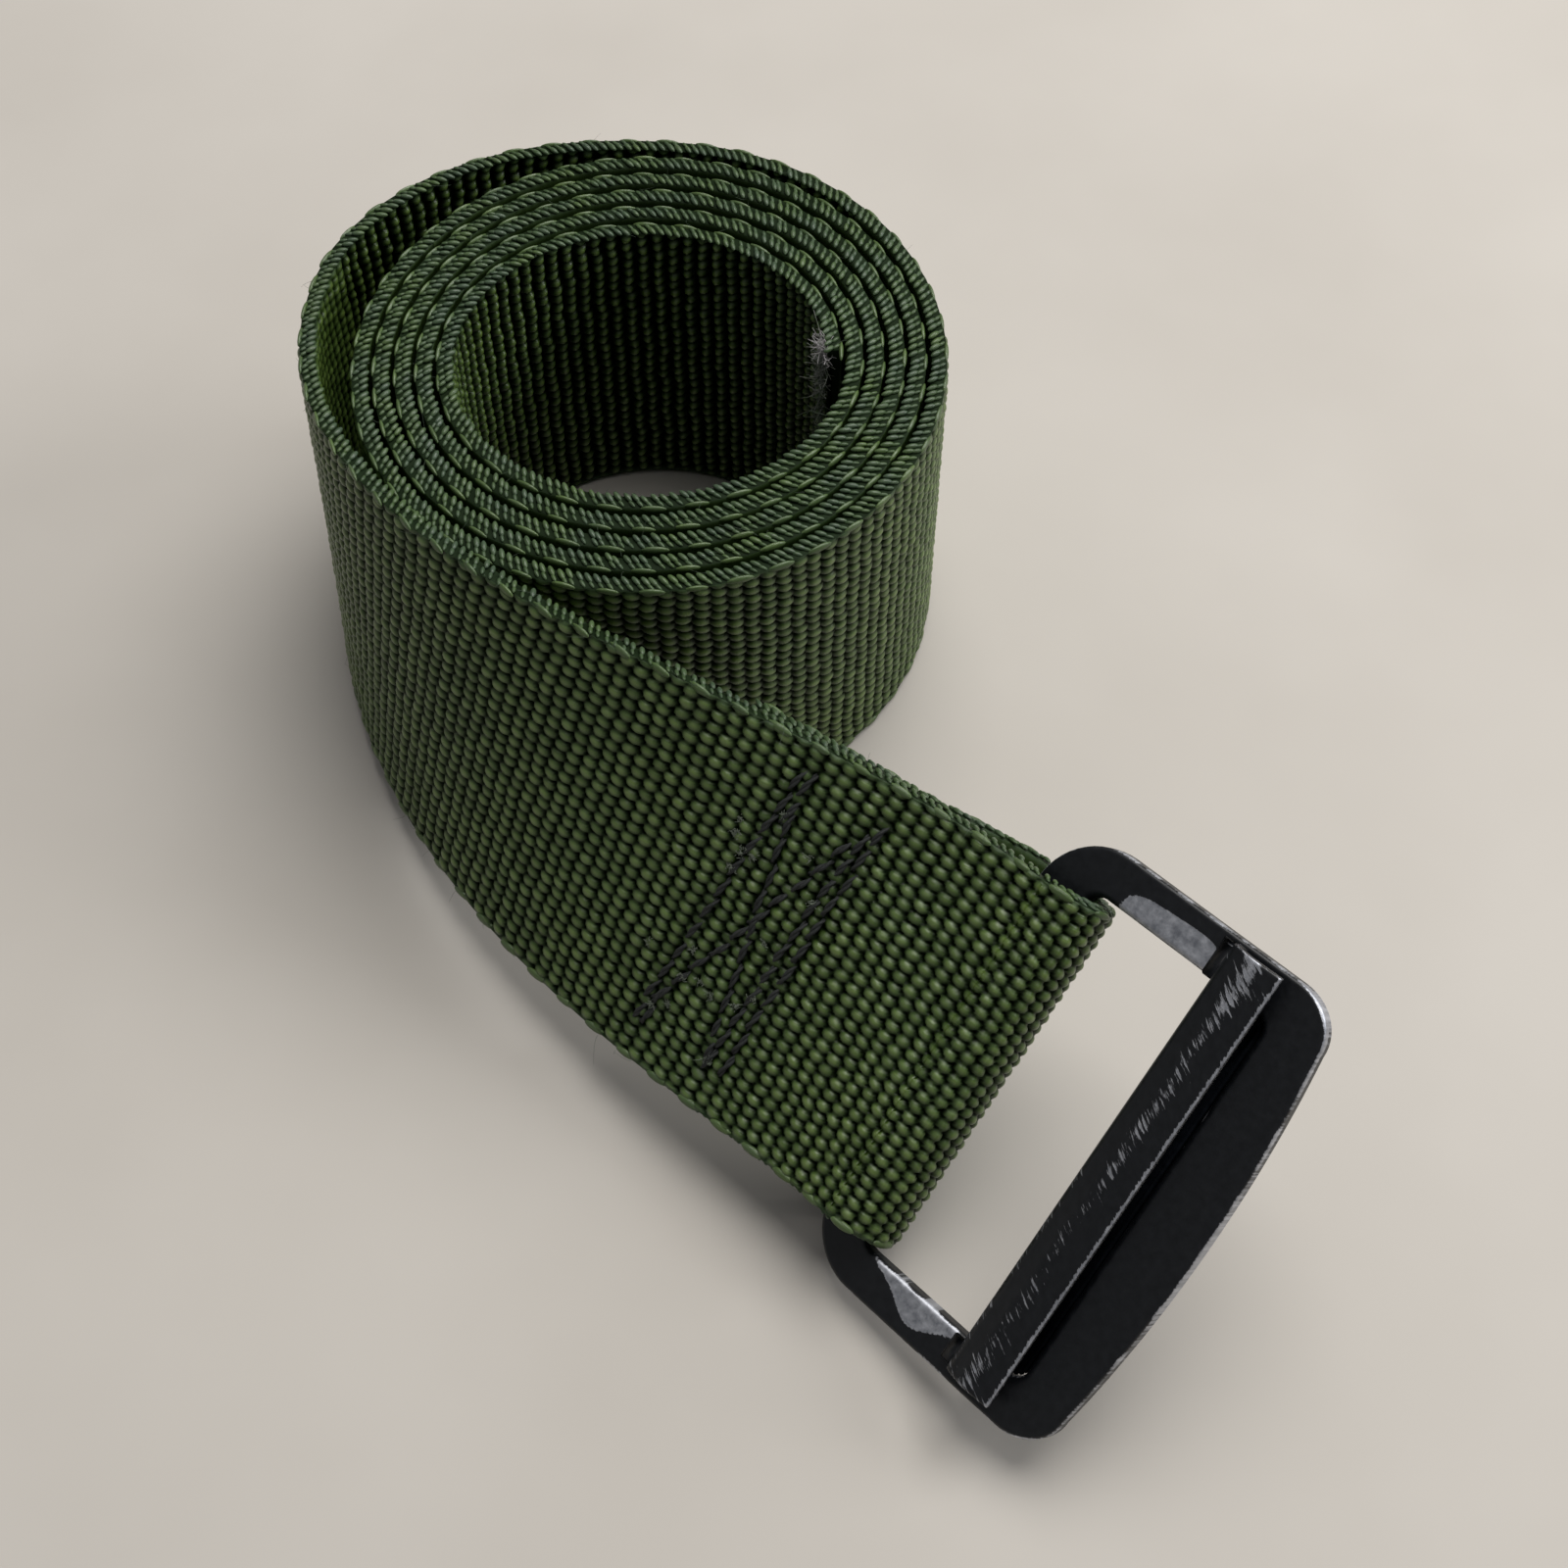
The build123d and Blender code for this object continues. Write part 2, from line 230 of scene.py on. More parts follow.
SEAMS = {
    "front_row": (far_front, near_front),
    "inner_row": (far_inner, near_inner),
    "rear_row": (far_rear, near_rear),
    "rising_diagonal": tuple(between(near_rear, far_inner, part) for part in RISING),
    "falling_diagonal": tuple(between(far_rear, near_inner, part) for part in FALLING),
    "far_backtack": (
        far_rear + BACKTACK_STEP, between(far_rear, near_rear, FAR_BACKTACK) + BACKTACK_STEP,
    ),
    "near_backtack": (
        near_rear + BACKTACK_STEP, between(near_rear, far_rear, NEAR_BACKTACK) + BACKTACK_STEP,
    ),
}


def seam_pull(behind, across):
    """How far the thread pulls the webbing in, from 0 to 1, at these points."""
    pull = np.zeros(np.broadcast(behind, across).shape)
    for a, b in SEAMS.values():
        run = b - a
        part = ((behind - a[0]) * run[0] + (across - a[1]) * run[1]) / (run @ run)
        part = np.clip(part, 0, 1)
        gap = np.hypot(behind - a[0] - part * run[0], across - a[1] - part * run[1])
        pull = np.maximum(pull, np.exp(-((gap / PULL_WIDTH) ** 2)))
    return pull


# -------- the woven relief

COLUMN_PITCH = 1.63  # beads repeat along the webbing
ROW_PITCH = WEB_W / 32  # and across it
BEAD_HALF_L = 0.90
BEAD_HALF_W = 0.655
BEAD_DEPTH = 0.60
BEAD_POWER = 2.05
BEAD_SLANT = 0.22
BEAD_SHIFT = 0.05  # beads differ in place and size by up to so much
BEAD_SPREAD = 0.09
RIB_HALF_L = 0.60  # on the hollow side of a bend the beads stand closer
RIB_DEPTH = 0.75
# Columns and rows wander in slow waves: height, and turn per mm along and across.
COLUMN_WAVES = ((0.09, 0.31, 0.9), (0.07, -0.17, 2.3))
ROW_WAVE = (0.07, 0.83, 0.4)


def bead_noise(column, row):
    """A steady value from -1 to 1 for each bead."""
    x = np.sin(column * 12.9898 + row * 78.233) * 43758.5453
    return 2 * (x - np.floor(x)) - 1


def wave(shape, s, w):
    height, by_s, by_w = shape
    return height * np.sin(w * by_w + s * by_s)


def weave(s, w, hollow):
    """Height of the weave from 0 to 1. hollow is for the hollow side of a bend."""
    s = s + wave(COLUMN_WAVES[0], s, w) + wave(COLUMN_WAVES[1], s, w)
    w = w + wave(ROW_WAVE, s, w)
    half_l = RIB_HALF_L if hollow else BEAD_HALF_L
    height = np.zeros(np.broadcast(s, w).shape)
    first = np.floor(s / COLUMN_PITCH)
    for step in (0, 1):
        column = first + step
        rows = w / ROW_PITCH + 0.5 * np.mod(column, 2)
        row = np.round(rows)
        y = (rows - row) * ROW_PITCH
        x = (s / COLUMN_PITCH - column) * COLUMN_PITCH + BEAD_SHIFT * bead_noise(column, row)
        x = x + BEAD_SLANT * y
        size = 1 + BEAD_SPREAD * bead_noise(column + 0.5, row)
        bead = 1 - np.abs(x / half_l) ** BEAD_POWER - np.abs(y / BEAD_HALF_W) ** BEAD_POWER
        bead = size * np.sqrt(np.clip(bead, 0, 1))
        height = np.maximum(height, bead)
    return height


# -------- mesh helpers


def new_mesh(name, points, faces, smooth=None, uv=None, values=None):
    """A mesh object from points in millimetres. values are float attributes by name."""
    mesh = bpy.data.meshes.new(name)
    points = np.asarray(points, float).reshape(-1, 3) * MM
    faces = np.asarray(faces, np.int32)
    mesh.vertices.add(len(points))
    mesh.vertices.foreach_set("co", points.astype(np.float32).ravel())
    mesh.loops.add(faces.size)
    mesh.loops.foreach_set("vertex_index", faces.ravel())
    mesh.polygons.add(len(faces))
    mesh.polygons.foreach_set("loop_start", np.arange(len(faces), dtype=np.int32) * faces.shape[1])
    smooth = np.ones(len(faces), bool) if smooth is None else smooth
    mesh.polygons.foreach_set("use_smooth", smooth)
    mesh.update(calc_edges=True)
    if uv is not None:
        layer = mesh.uv_layers.new(name="Along")
        layer.data.foreach_set("uv", np.asarray(uv, np.float32)[faces.ravel()].ravel())
    for key, value in (values or {}).items():
        attribute = mesh.attributes.new(key, "FLOAT", "POINT")
        attribute.data.foreach_set("value", np.asarray(value, np.float32).ravel())
    obj = bpy.data.objects.new(name, mesh)
    bpy.context.scene.collection.objects.link(obj)
    return obj


def grid_faces(rows, columns, wrap_columns=False, wrap_rows=False):
    """Quads of a rows by columns grid of vertices."""
    r = np.arange(rows if wrap_rows else rows - 1)[:, None]
    c = np.arange(columns if wrap_columns else columns - 1)[None, :]
    r2, c2 = (r + 1) % rows, (c + 1) % columns
    corners = [r * columns + c, r * columns + c2, r2 * columns + c2, r2 * columns + c]
    return np.stack([x + 0 * (r + c) for x in corners], -1).reshape(-1, 4)


def cap_faces(loop, centre):
    """A fan that closes a loop of vertices, as quads whose last two corners are one."""
    nxt = np.roll(loop, -1)
    return np.stack([loop, nxt, np.full_like(loop, centre), np.full_like(loop, centre)], -1)


class Parts:
    """Collects many small pieces of geometry into one mesh."""

    def __init__(self):
        self.points, self.faces, self.smooth, self.uv = [], [], [], []
        self.values, self.count = {}, 0

    def add(self, points, faces, uv, caps=(), **values):
        """caps are faces shaded flat, so that they don't darken the edge they close."""
        self.points.append(points)
        for group, smooth in ((faces, True), (caps, False)):
            if len(group):
                self.faces.append(np.asarray(group) + self.count)
                self.smooth.append(np.full(len(group), smooth))
        self.uv.append(uv)
        for key, value in values.items():
            self.values.setdefault(key, []).append(np.broadcast_to(value, len(points)))
        self.count += len(points)

    def build(self, name):
        values = {k: np.concatenate(v) for k, v in self.values.items()}
        return new_mesh(
            name, np.concatenate(self.points), np.concatenate(self.faces),
            np.concatenate(self.smooth), np.concatenate(self.uv), values,
        )


def tube(parts, path, radius, s, sides=8, **values):
    """Adds a closed tube along a path."""
    along = unit(np.gradient(path, axis=0))
    side = unit(np.cross(along, np.array([0.31, 0.52, 0.79])))
    third = np.cross(along, side)
    turn = np.linspace(0, 2 * math.pi, sides, endpoint=False)
    radius = np.broadcast_to(radius, len(path))[:, None, None]
    ring = side[:, None] * np.cos(turn)[None, :, None] + third[:, None] * np.sin(turn)[None, :, None]
    points = path[:, None] + ring * radius
    count = len(path) * sides
    faces = grid_faces(len(path), sides, wrap_columns=True)
    first_ring = np.arange(sides)
    caps = np.concatenate(
        [cap_faces(first_ring[::-1], count), cap_faces(first_ring + count - sides, count + 1)]
    )
    uv = np.stack([np.repeat(s, sides), np.tile(turn, len(path))], -1)
    uv = np.concatenate([uv, [[s[0], 0], [s[-1], 0]]])
    points = np.concatenate([points.reshape(-1, 3), path[:1], path[-1:]])
    parts.add(points, faces, uv, caps, **values)


# -------- webbing meshes

FACE_EDGE = WEB_W / 2 - 0.50  # where the flat face ends and the selvedge starts
FINE = ROW_PITCH / 6  # spacing of the points on a face that shows its beads
EDGE_BULGE = 0.06
EDGE_INSET = 0.20  # the edge is thinner than the faces by this, each side
EDGE_HEIGHT = 0.62  # height of the weave where it runs out at the edge
EDGE_FADE = 0.4  # over this distance
PLAIN_HEIGHT = 0.6  # height of a face whose beads aren't drawn
EDGE_RELIEF = 0.2
EDGE_BAND = 0.7  # width of the paler band by the edge
EDGE_BAND_SHADE = 0.8
FINE_STEPS = 6  # points for each column of beads
COARSE_STEPS = 3


def plain_face():
    """Across a face that doesn't show its beads: fine only by the upper edge."""
    return np.concatenate([np.linspace(-FACE_EDGE, 15.0, 10), np.linspace(15.6, FACE_EDGE, 6)])


def section(fine_outer, fine_inner):
    """Points round the webbing's section: across, height factor, and kind of surface."""
    fine_face = np.linspace(-FACE_EDGE, FACE_EDGE, int(2 * FACE_EDGE / FINE))
    outer = fine_face if fine_outer else plain_face()
    inner = (fine_face if fine_inner else plain_face())[::-1]
    turn = np.radians(np.linspace(90, -90, 9)[1:-1])
    edge_w = FACE_EDGE + EDGE_BULGE * np.cos(turn)
    edge_n = (WEB_T / 2 - EDGE_INSET) * np.sin(turn)
    w = np.concatenate([outer, edge_w, inner, -edge_w[::-1]])
    n = np.concatenate([0 * outer + 1, edge_n, 0 * inner - 1, edge_n[::-1]])
    kind = np.concatenate([0 * outer + 1, 0 * edge_w, 0 * inner - 1, 0 * edge_w])
    return w, n, kind


def ribbon(parts, s, line, fine_outer, fine_inner, behind=None, hollow=False, stretch=1.0):
    """Adds a stretch of webbing at lengths s, with the four vectors in line.

    behind is the distance behind the rear bar, where there are seams. stretch spaces the
    beads for the outside of a bend.
    """
    centre, along, across, out = line
    w, n, kind = section(fine_outer, fine_inner)
    S, W = np.meshgrid(s, w, indexing="ij")
    height = np.zeros_like(S)
    depth = np.where(kind < 0, RIB_DEPTH if hollow else BEAD_DEPTH, BEAD_DEPTH)
    woven_s = s[0] + (S - s[0]) * stretch - LOOP_START
    for side, fine, phase in ((1, fine_outer, 0), (-1, fine_inner, COLUMN_PITCH / 2)):
        cols = kind == side
        woven = weave(woven_s[:, cols] + phase, W[:, cols], hollow and side < 0)
        h = woven if fine else PLAIN_HEIGHT
        fade = np.clip((FACE_EDGE - np.abs(W[:, cols])) / EDGE_FADE, 0, 1)
        height[:, cols] = h * fade + EDGE_HEIGHT * (1 - fade)
    offset = np.where(kind == 0, n, n * (WEB_T / 2 - depth + depth * height))
    if behind is not None:
        pull = seam_pull(behind[:, None], W)
        offset = offset - kind * SEAM_PULL * pull
        # Painted shade: where the seam sinks the webbing, its relief and so its colour are lowered.
        height = height * (1 - PULL_SHADE * pull)
    points = centre[:, None] + across[:, None] * W[..., None] + out[:, None] * offset[..., None]
    faces = grid_faces(len(s), len(w), wrap_columns=True)
    edge = EDGE_BAND_SHADE * ease((np.abs(W) - FACE_EDGE + EDGE_BAND) / EDGE_BAND)
    edge = np.where(kind == 0, 1.0, edge)
    height = np.where(kind == 0, EDGE_RELIEF, height)
    last = len(s) * len(w)
    ring = np.arange(len(w))
    caps = np.concatenate([cap_faces(ring, last), cap_faces(ring[::-1] + last - len(w), last + 1)])
    points = np.concatenate([points.reshape(-1, 3), centre[:1], centre[-1:]])
    uv = np.concatenate([np.stack([S.ravel(), W.ravel()], -1), [[s[0], 0], [s[-1], 0]]])
    # height goes out as the relief attribute, which the webbing's colour turns into painted shade
    # between the beads.
    parts.add(
        points, faces, uv, caps,
        relief=np.append(height.ravel(), [0, 0]), edge=np.append(edge.ravel(), [1, 1]),
    )


def ball(rings=6, segments=8):
    """Unit ball: points and faces, with quads at the poles folded to triangles."""
    polar = np.linspace(0, math.pi, rings + 1)
    turn = np.linspace(0, 2 * math.pi, segments, endpoint=False)
    P, T = np.meshgrid(polar, turn, indexing="ij")
    points = np.stack([np.cos(P), np.sin(P) * np.cos(T), np.sin(P) * np.sin(T)], -1)
    return points.reshape(-1, 3), grid_faces(rings + 1, segments, wrap_columns=True)


BALL_POINTS, BALL_FACES = ball()
GRAIN_SPREAD = 0.07  # grains differ in size
GRAIN_SHADES = 0.15  # and in shade


def grains(parts, centre, axis, side, size, s, relief, edge=1.0):
    """Adds a small ellipsoid at each centre: axis is its long direction, size its half axes."""
    axis = unit(axis)
    side = unit(side - axis * np.sum(side * axis, -1, keepdims=True))
    third = np.cross(axis, side)
    count = len(centre)
    grow = 1 + GRAIN_SPREAD * rng.standard_normal(count).clip(-1.5, 1.5)[:, None, None]
    local = BALL_POINTS * np.array(size) * grow
    points = (
        centre[:, None] + local[..., :1] * axis[:, None]
        + local[..., 1:2] * side[:, None] + local[..., 2:] * third[:, None]
    )
    step = np.arange(count)[:, None, None] * len(BALL_POINTS)
    faces = (BALL_FACES + step).reshape(-1, 4)
    uv = np.stack([s[:, None] + local[..., 0], local[..., 1]], -1).reshape(-1, 2)
    shade = relief + GRAIN_SHADES * rng.random((count, 1)) + 0 * local[..., 0]
    parts.add(points.reshape(-1, 3), faces, uv, relief=shade.ravel(), edge=edge)


CHAIN_PITCH = 0.90  # of the knitted chain along the edge
CHAIN_JITTER = 0.07
CHAIN_SINK = 0.28  # its grains' middles lie this far below the edge
CHAIN_SINK_SPREAD = 0.04
CHAIN_SWAY = 0.08
LARGE_GRAIN = (0.64, 0.25, 0.28)  # on the inner side
SMALL_GRAIN = (0.50, 0.19, 0.21)  # and the outer side
LARGE_OUT = 0.42
SMALL_OUT = 0.24
SMALL_SINK = 0.10
SMALL_AHEAD = 0.45
FLOAT_PITCH = 4.08  # of the long floats below the chain
FLOAT_SINK = 0.60
FLOAT_OUT = 0.70
FLOAT_GRAIN = (1.25, 0.42, 0.24)


def selvedge(parts, s0, s1, line_at, top):
    """The knitted chain and the long floats along one edge, from s0 to s1."""
    sign = 1 if top else -1
    s = np.arange(math.ceil(s0 / CHAIN_PITCH), math.ceil(s1 / CHAIN_PITCH)) * CHAIN_PITCH
    s = s + CHAIN_JITTER * rng.standard_normal(len(s))
    centre, along, across, out = line_at(s)
    up = across * sign
    lift = WEB_W / 2 - CHAIN_SINK + CHAIN_SINK_SPREAD * rng.standard_normal((len(s), 1))
    base = centre + up * lift
    sway = CHAIN_SWAY * rng.standard_normal((len(s), 1))
    grains(
        parts, base - out * (LARGE_OUT + sway), along * 0.62 + out * 0.78, up,
        LARGE_GRAIN, s, relief=0.88,
    )
    grains(
        parts, base + out * SMALL_OUT - up * SMALL_SINK + along * SMALL_AHEAD,
        along * 0.66 + out * 0.75, up, SMALL_GRAIN, s, relief=0.75,
    )
    s = np.arange(math.ceil(s0 / FLOAT_PITCH), math.ceil(s1 / FLOAT_PITCH)) * FLOAT_PITCH
    if len(s):
        centre, along, across, out = line_at(s)
        up = across * sign
        base = centre + up * (WEB_W / 2 - FLOAT_SINK)
        grains(
            parts, base + out * FLOAT_OUT, along + out * 0.05, up, FLOAT_GRAIN, s,
            relief=0.85, edge=0.6,
        )


def webbing(
    name, s0, s1, line_at, fine_outer, fine_inner, both_edges=True, behind=None, **extra
):
    """Cloth and selvedge of the webbing from s0 to s1. The fine faces show their beads."""
    parts, edges = Parts(), Parts()
    steps = FINE_STEPS if (fine_outer or fine_inner) else COARSE_STEPS
    s = np.linspace(s0, s1, max(2, round((s1 - s0) / COLUMN_PITCH * steps) + 1))
    behind = behind(s) if behind else None
    ribbon(parts, s, line_at(s), fine_outer, fine_inner, behind, **extra)
    selvedge(edges, s0, s1, line_at, True)
    if both_edges:
        selvedge(edges, s0, s1, line_at, False)
    made = parts.build(name), edges.build(name + "_selvedge")
    return made


def s_of_lap(laps):
    return float(np.interp(laps, coil_laps, coil_s))


def on_column(s):
    """The nearest crown of a column of beads, where a cut shows least."""
    return LOOP_START + round((s - LOOP_START) / COLUMN_PITCH) * COLUMN_PITCH


hole_end = s_of_lap(1.02)
outer_start = on_column(s_of_lap(4.40))
stand_start = on_column(s_of_lap(5.12))
coil_inner = webbing("coil_inner_lap", 0.0, hole_end, coil_at, False, True, False, hollow=True)
coil_middle = webbing("coil_middle_laps", hole_end, outer_start, coil_at, False, False, False)
coil_outer = webbing("coil_outer_lap", outer_start, stand_start, coil_at, True, False)
coil_stand = webbing(
    "coil_standing_end", stand_start, COIL_LENGTH, coil_at, True, True, hollow=True
)
lead = webbing(
    "free_end", COIL_LENGTH, LOOP_START, lead_at, True, True, behind=lambda s: LOOP_START - s
)
loop = webbing(
    "sewn_loop", LOOP_START, TAIL_START, loop_at, True, False, stretch=BAR_LOOP_R / BAR_DROP
)
tail = webbing(
    "sewn_tail", TAIL_START, TAIL_START + TAIL_LENGTH, tail_at, True, False,
    behind=lambda s: s - TAIL_START,
)

# -------- stitching

STITCH_PITCH = 2.7
STITCH_POINTS = 14
STITCH_OVERLAP = 0.02  # of a stitch, into the next
STITCH_LEAN = 0.22  # a stitch slants across its row by this, each way
STITCH_LEAN_SPREAD = 0.10
STITCH_SINK = 0.72  # its ends lie this far below the webbing's face
STITCH_RISE = 0.44  # and its middle is this much higher
THREAD_R = 0.27
STRAND_THIN = 0.40  # radius of a strand at the stitch's ends, as a part of THREAD_R
STRAND_SWELL = 0.35  # and what it gains by the middle
STRANDS_APART = 0.15
STRANDS_FLAT = 0.6
TWIST_PITCH = 3.1


def stitch_row(name, row, side):
    """Thread of one seam on the upper face (side 1) or under the tail (side -1)."""
    a, b = SEAMS[row]
    length = np.linalg.norm(b - a)
    number = max(2, round(length / STITCH_PITCH))
    sideways = np.array([b[1] - a[1], a[0] - b[0]]) / length
    arch = np.sin(np.linspace(0, math.pi, STITCH_POINTS))
    rise = WEB_T / 2 - STITCH_SINK + STITCH_RISE * arch**0.6
    radius = THREAD_R * (STRAND_THIN + STRAND_SWELL * arch**0.5)
    parts = Parts()
    for i in range(number):
        first, last = (i - STITCH_OVERLAP) / number, (i + 1 + STITCH_OVERLAP) / number
        part = np.linspace(first, last, STITCH_POINTS)
        spots = a + (b - a) * part[:, None]
        lean = np.linspace(STITCH_LEAN, -STITCH_LEAN, STITCH_POINTS)
        lean = lean + STITCH_LEAN_SPREAD * rng.standard_normal()
        behind = spots[:, 0] + sideways[0] * lean
        across = spots[:, 1] + sideways[1] * lean
        line = lead_behind(behind) if side > 0 else tail_at(TAIL_START + behind)
        centre, along, cross, out = line
        path = centre + cross * across[:, None] + out * rise[:, None]
        for turn in (0.0, math.pi):
            twist = turn + part * length * 2 * math.pi / TWIST_PITCH + i
            lay = along * np.cos(twist)[:, None] + out * np.sin(twist)[:, None] * STRANDS_FLAT
            tube(
                parts, path + lay * STRANDS_APART, radius, part * length, sides=6,
                relief=0.6, edge=0.0,
            )
    obj = parts.build(name)
    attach(obj, "free_end")
    return obj


threads = []
for kind, side in (("needle", 1), ("bobbin", -1)):
    for row in SEAMS:
        thread = stitch_row("thread_" + kind + "_" + row, row, side)
        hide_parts(kind + "_" + row)
        threads.append(thread)

# -------- lint

HAIR_CURL = 0.8
HAIR_FLOOR = 0.06  # no fibre reaches below this height
EDGE_HAIR = (0.3, 0.15, 0.3), 1, 0.9, 0.018, 0.30
SEAM_FLUFF = (0.22, 0.20, 0.04), 34, 0.14, 0.050, 0.50
COIL_HAIRS = 110
LEAD_HAIRS = 70
SEAM_TUFTS = 20


def hair(parts, root, lean, length, thickness, pale):
    """One curling fibre from its root."""
    curl = rng.standard_normal((2, 3)) * HAIR_CURL
    reach = np.linspace(0, 1, 6)[:, None]
    path = root + (lean * reach + curl[0] * reach**2 + curl[1] * reach**3 * 0.6) * length
    path[:, 2] = np.maximum(path[:, 2], HAIR_FLOOR)
    tube(parts, path, thickness * (1 - 0.5 * reach[:, 0]), reach[:, 0] * length, sides=4, pale=pale)


def lint_on(name, body, clumps):
    """Fibres caught in the webbing, from clumps of the values that the loop unpacks."""
    parts = Parts()
    for line_at, s, across_at, out_at, spread, count, length, thickness, pale in clumps:
        centre, along, across, out = (x[0] for x in line_at(np.array([s])))
        for _ in range(count):
            drift = rng.standard_normal(3) * spread
            root = centre + along * drift[0] + across * (across_at + drift[1])
            root = root + out * (out_at + abs(drift[2]) * np.sign(out_at))
            lean = along * rng.standard_normal() + across * rng.standard_normal()
            lean = unit(lean + out * np.sign(out_at) * abs(rng.standard_normal()))
            hair(parts, root, lean, length * (0.6 + 0.8 * rng.random()), thickness, pale)
    obj = parts.build(name)
    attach(obj, body)
    return obj


coil_clumps = [
    (coil_at, 1.2, 17.9, -0.6, (1.0, 0.4, 0.3), 150, 0.5, 0.050, 0.85),
    (coil_at, 1.3, 14.6, -0.7, (0.8, 1.9, 0.3), 300, 0.6, 0.050, 0.62),
    (coil_at, 0.8, 8.0, -0.8, (0.5, 4.4, 0.2), 150, 0.8, 0.045, 0.42),
]
for _ in range(COIL_HAIRS):
    coil_clumps.append((coil_at, rng.random() * (COIL_LENGTH - 1), 18.7, -0.3, *EDGE_HAIR))
coil_lint = lint_on("lint_on_coil", "coil", coil_clumps)

lead_clumps = []
for _ in range(SEAM_TUFTS):
    back, over = 14.5 + 12 * rng.random(), -14.0 + 28 * rng.random()
    slanted = back + 0.15 * (14 - over)
    lead_clumps.append((lead_at, LOOP_START - slanted, over, 0.72, *SEAM_FLUFF))
for _ in range(LEAD_HAIRS):
    place = COIL_LENGTH + LEAD_LENGTH * rng.random()
    side = 18.7 * np.sign(rng.random() - 0.4)
    lead_clumps.append((lead_at, place, side, 0.4, *EDGE_HAIR))
lead_lint = lint_on("lint_on_free_end", "free_end", lead_clumps)

# -------- the buckle frame

# In the buckle's own directions u is forward from the rear bar, v across and n upward.
FRAME_T = 2.0
FRAME_HALF_W = 24.2
FRAME_REAR = -2.6
FRAME_REAR_R = 6.6
FRAME_FRONT = 29.2
FRAME_BOW = 2.1  # the front edge falls back by this at the frame's sides
CORNER_U = 22.9  # the front corners leave the rails here
CORNER_V = 19.9  # and meet the front edge here
WINDOW_HALF_W = 19.8
WINDOW_REAR = 2.6
WINDOW_FRONT = 22.6
WINDOW_R = 1.6
INNER_EDGE_R = 0.55
OUTER_EDGE_R = 0.40
ACROSS_POINTS = 90
RAIL_POINTS = 40
CORNER_POINTS = 14
FACE_POINTS = 30


def arc(cx, cy, r, a0, a1, count):
    a = np.radians(np.linspace(a0, a1, count))
    return np.stack([cx + r * np.cos(a), cy + r * np.sin(a)], -1)


def straight(p, q, count):
    return np.array(p) + (np.array(q) - np.array(p)) * np.linspace(0, 1, count)[:, None]


def bow_u(v):
    """The bowed front edge, at v across the frame."""
    return FRAME_FRONT - FRAME_BOW * (v / FRAME_HALF_W) ** 2


def outline(rear, w, r, front_u, front_corner, front_edge):
    """A plate's outline: its near side is its far side mirrored."""
    side = np.concatenate([
        arc(rear + r, w - r, r, 180, 90, CORNER_POINTS),
        straight((rear + r, w), (front_u, w), RAIL_POINTS),
        front_corner,
    ])
    rear_edge = straight((rear, -w + r), (rear, w - r), ACROSS_POINTS)
    return np.concatenate([rear_edge, side, front_edge, (side * np.array([1, -1]))[::-1]])


def frame_outlines():
    """Matching points round the window and round the frame."""
    u, v = WINDOW_FRONT - WINDOW_R, WINDOW_HALF_W - WINDOW_R
    corner = arc(u, v, WINDOW_R, 90, 0, CORNER_POINTS)
    front = straight((WINDOW_FRONT, v), (WINDOW_FRONT, -v), ACROSS_POINTS)
    inner = outline(WINDOW_REAR, WINDOW_HALF_W, WINDOW_R, u, corner, front)
    turn = np.linspace(0, math.pi / 2, CORNER_POINTS)
    u = CORNER_U + (bow_u(CORNER_V) - CORNER_U) * np.sin(turn)
    v = CORNER_V + (FRAME_HALF_W - CORNER_V) * np.cos(turn)
    corner = np.stack([u, v], -1)
    v = np.linspace(CORNER_V, -CORNER_V, ACROSS_POINTS)
    front = np.stack([bow_u(v), v], -1)
    outer = outline(FRAME_REAR, FRAME_HALF_W, FRAME_REAR_R, CORNER_U, corner, front)
    keep = np.append(np.linalg.norm(np.diff(outer + inner, axis=0), axis=1) > 1e-6, True)
    return inner[keep][:-1], outer[keep][:-1]


def plate_section(width):
    """Round the frame's section: distance from the window's edge, and height."""
    turn = np.radians(np.linspace(0, 90, 6))
    in_x, in_z = INNER_EDGE_R * (1 - np.cos(turn)), INNER_EDGE_R * (1 - np.sin(turn))
    out_x, out_z = OUTER_EDGE_R * (1 - np.cos(turn)), OUTER_EDGE_R * (1 - np.sin(turn))
    across = np.linspace(0, 1, FACE_POINTS)[1:-1]
    flat = INNER_EDGE_R + (width - INNER_EDGE_R - OUTER_EDGE_R) * across
    top_x = np.concatenate([in_x, flat, (width - out_x)[::-1]])
    top_z = FRAME_T / 2 - np.concatenate([in_z, 0 * flat, out_z[::-1]])
    side = np.linspace(1, -1, 5)[1:-1] * (FRAME_T / 2 - OUTER_EDGE_R)
    x = np.concatenate([top_x, 0 * side + width, top_x[::-1], 0 * side])
    z = np.concatenate([top_z, side, -top_z[::-1], -side])
    return x, z


def to_row(u, v, n):
    """Points in the buckle's own directions, in the shared frame."""
    return BAR + BAR_U * u[..., None] + BAR_V * v[..., None] + BAR_N * n[..., None]


def smooth_noise(u, v, scale, seed):
    """Cheap smooth noise between about -1 and 1."""
    local = np.random.default_rng(seed)
    total = 0 * u
    for i in range(6):
        angle, phase = local.random(2) * 2 * math.pi
        freq = scale * (0.6 + 0.25 * i)
        total = total + np.sin((u * math.cos(angle) + v * math.sin(angle)) * freq + phase)
    return total / 3


def bump_at(x, middle, width):
    return np.exp(-(((x - middle) / width) ** 2))


